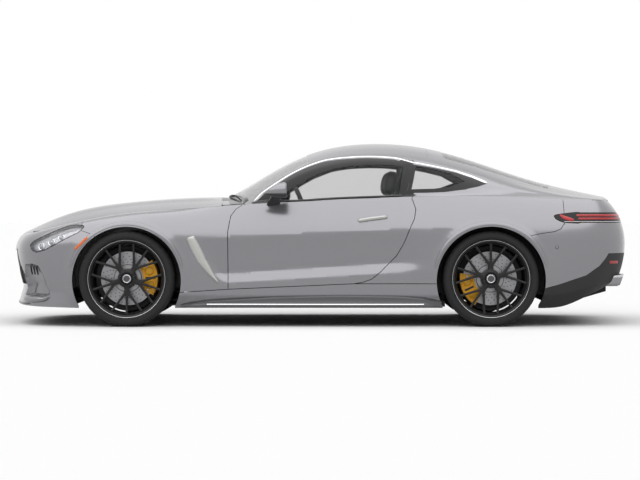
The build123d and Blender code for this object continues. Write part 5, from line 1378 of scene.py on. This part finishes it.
HELM_CENTRE = np.array([-123.0, -370.0, 890.0])
HELM_TILT = math.radians(24)
column = np.array([math.cos(HELM_TILT), 0.0, math.sin(HELM_TILT)])
upward = np.array([-math.sin(HELM_TILT), 0.0, math.cos(HELM_TILT)])
grip = [(167 + 15 * math.cos(a), 17 * math.sin(a)) for a in np.linspace(0, 2 * math.pi, 14, endpoint=False)]
helm = Mesh().add(turned(grip, HELM_CENTRE, column, 64), 0)
pad = [(0.1, 2), (40, 0), (60, -8), (62, -26), (40, -36), (0.1, -40)]
helm.add(turned(pad, HELM_CENTRE, column, 40), 0)
helm.add(turned([(0.1, -30), (34, -30), (38, -120), (40, -240), (0.1, -240)], HELM_CENTRE, column, 32), 0)
for way in (np.array([0.0, 1.0, 0.0]), np.array([0.0, -1.0, 0.0]), -upward):
    path = [HELM_CENTRE + way * d - column * sink for d, sink in ((50, 18), (90, 14), (130, 8), (164, 2))]
    helm.add(sweep(path, rounded(36, 14, 4.0, 14), column), 1)
helm.object("helm", [LEATHER, DARK_STEEL], "body", "cabin_trim", ["steering_wheel"])
dash = Mesh().add(lump((-226, -370, 848), (14, 150, 46), 6.0), 0)
dash.add(leaned(lump((-214, 0, 742), (12, 118, 140), 7.0), np.array([-214.0, 0, 742.0]), -12.0), 0)
for y in (-640.0, -130.0, 130.0, 640.0):
    dash.add(turned([(30, 0), (37, 6), (41, 0), (41, -14), (30, -14)], (-232, y, 850), (1, 0, 0), 32), 1)
    for z in (-16, -5, 6, 17):
        slat = [(-236, y + offset, 850 + z) for offset in (-30, 0, 30)]
        dash.add(sweep(slat, rounded(4, 12, 4.0, 8), (0, 0, 1)), 2)
dash.object("dash_fittings", [SCREEN, CHROME, BLACK], "body", "cabin_trim")
card = Mesh().add(lump((-10, -742, 622), (330, 30, 34), 3.6), 0)
card.add(lump((-150, -752, 780), (310, 16, 60), 4.0), 1)
pull = [(-330, -722, 700), (-250, -712, 716), (-150, -712, 722), (-60, -722, 716)]
card.add(sweep(pull, rounded(18, 16, 3.0, 12), (0, 0, 1)), 2)
speaker = [(0.1, 4), (60, 4), (74, 8), (80, 2), (80, -10), (0.1, -10)]
card.add(turned(speaker, (-430, -752, 470), (0, 1, 0), 40), 3)
fit_sides(card, "door_card", [LEATHER, CABIN, CHROME, MATT], "door", "cabin_trim")

SLOT_MATERIALS = {
    "paint": PAINT, "black_trim": BLACK, "glass": GLASS_SIDE, "lamp_clear": LENS, "lamp_red": RED,
    "bright_trim": CHROME, "structure": STRUCTURE, "engine": ENGINE, "steel": STEEL,
    "wheel_black": WHEEL_BLACK, "tyre": RUBBER, "caliper": CALIPER, "leather": LEATHER, "cabin_trim": CABIN,
}
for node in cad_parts.values():
    for place in node.material_slots:
        for key, material in SLOT_MATERIALS.items():
            if place.material and key in place.material.name:
                place.material = material


def seen_directly(tree):
    """One for camera, glossy and transmitted rays, which see the white surround."""
    path = shader_node(tree, "LightPath")
    total = path.outputs["Is Camera Ray"]
    for name in ("Is Glossy Ray", "Is Transmission Ray"):
        join = shader_node(tree, "Math")
        join.operation = "MAXIMUM"
        tree.links.new(total, join.inputs[0])
        tree.links.new(path.outputs[name], join.inputs[1])
        total = join.outputs[0]
    return total


def floor_material():
    """A pale floor, a little darker in the light that it throws back."""
    material, tree, shader = new_material("pale_floor")
    shade = shader_node(tree, "Mix")
    shade.data_type = "RGBA"
    shade.inputs["A"].default_value = (0.45, 0.45, 0.45, 1)
    shade.inputs["B"].default_value = (0.95, 0.95, 0.95, 1)
    tree.links.new(seen_directly(tree), shade.inputs["Factor"])
    tree.links.new(shade.outputs["Result"], shader.inputs["Base Color"])
    shader.inputs["Roughness"].default_value = 0.9
    shader.inputs["Specular IOR Level"].default_value = 0.1
    return material


# The photo's camera in pixels: picture width, focal length, row of the horizon and middle row.
PICTURE_WIDTH, FOCAL_LENGTH, HORIZON_ROW, MIDDLE_ROW = 640.0, 2169.0, 205.3, 240.0
SENSOR_WIDTH = 36.0
FLOOR_HALF = 90.0


def linked(name, data):
    """A new object in the scene."""
    made = bpy.data.objects.new(name, data)
    bpy.context.scene.collection.objects.link(made)
    return made


def stage():
    """A pale floor, a white surround, a soft lamp and the photo's camera."""
    scene = bpy.context.scene
    floor = bpy.data.meshes.new("floor")
    corners = [(x * FLOOR_HALF, y * FLOOR_HALF, 0) for x, y in ((-1, -1), (1, -1), (1, 1), (-1, 1))]
    floor.from_pydata(corners, [], [(0, 1, 2, 3)])
    floor.materials.append(floor_material())
    floor_object = linked("floor", floor)
    world = bpy.data.worlds.new("studio")
    scene.world = world
    world.use_nodes = True
    tree = world.node_tree
    background = tree.nodes["Background"]
    background.inputs["Color"].default_value = (1, 1, 1, 1)
    strength = shader_node(tree, "MapRange", To_Min=0.18, To_Max=1.0)
    tree.links.new(seen_directly(tree), strength.inputs["Value"])
    tree.links.new(strength.outputs["Result"], background.inputs["Strength"])
    sky = bpy.data.lights.new("soft_sky", "SUN")
    sky.energy = 2.8
    sky.angle = math.radians(112)
    linked("soft_sky", sky).rotation_euler = (math.radians(17), math.radians(-5), 0)
    view = bpy.data.cameras.new("camera")
    view.sensor_width = SENSOR_WIDTH
    view.lens = SENSOR_WIDTH * FOCAL_LENGTH / PICTURE_WIDTH
    view.shift_y = (HORIZON_ROW - MIDDLE_ROW) / PICTURE_WIDTH
    camera = linked("camera", view)
    camera.location = (0.0, -17.0, 0.9)
    camera.rotation_euler = (math.radians(90), 0, 0)
    scene.camera = camera
    scene.view_settings.view_transform = "Standard"


stage()
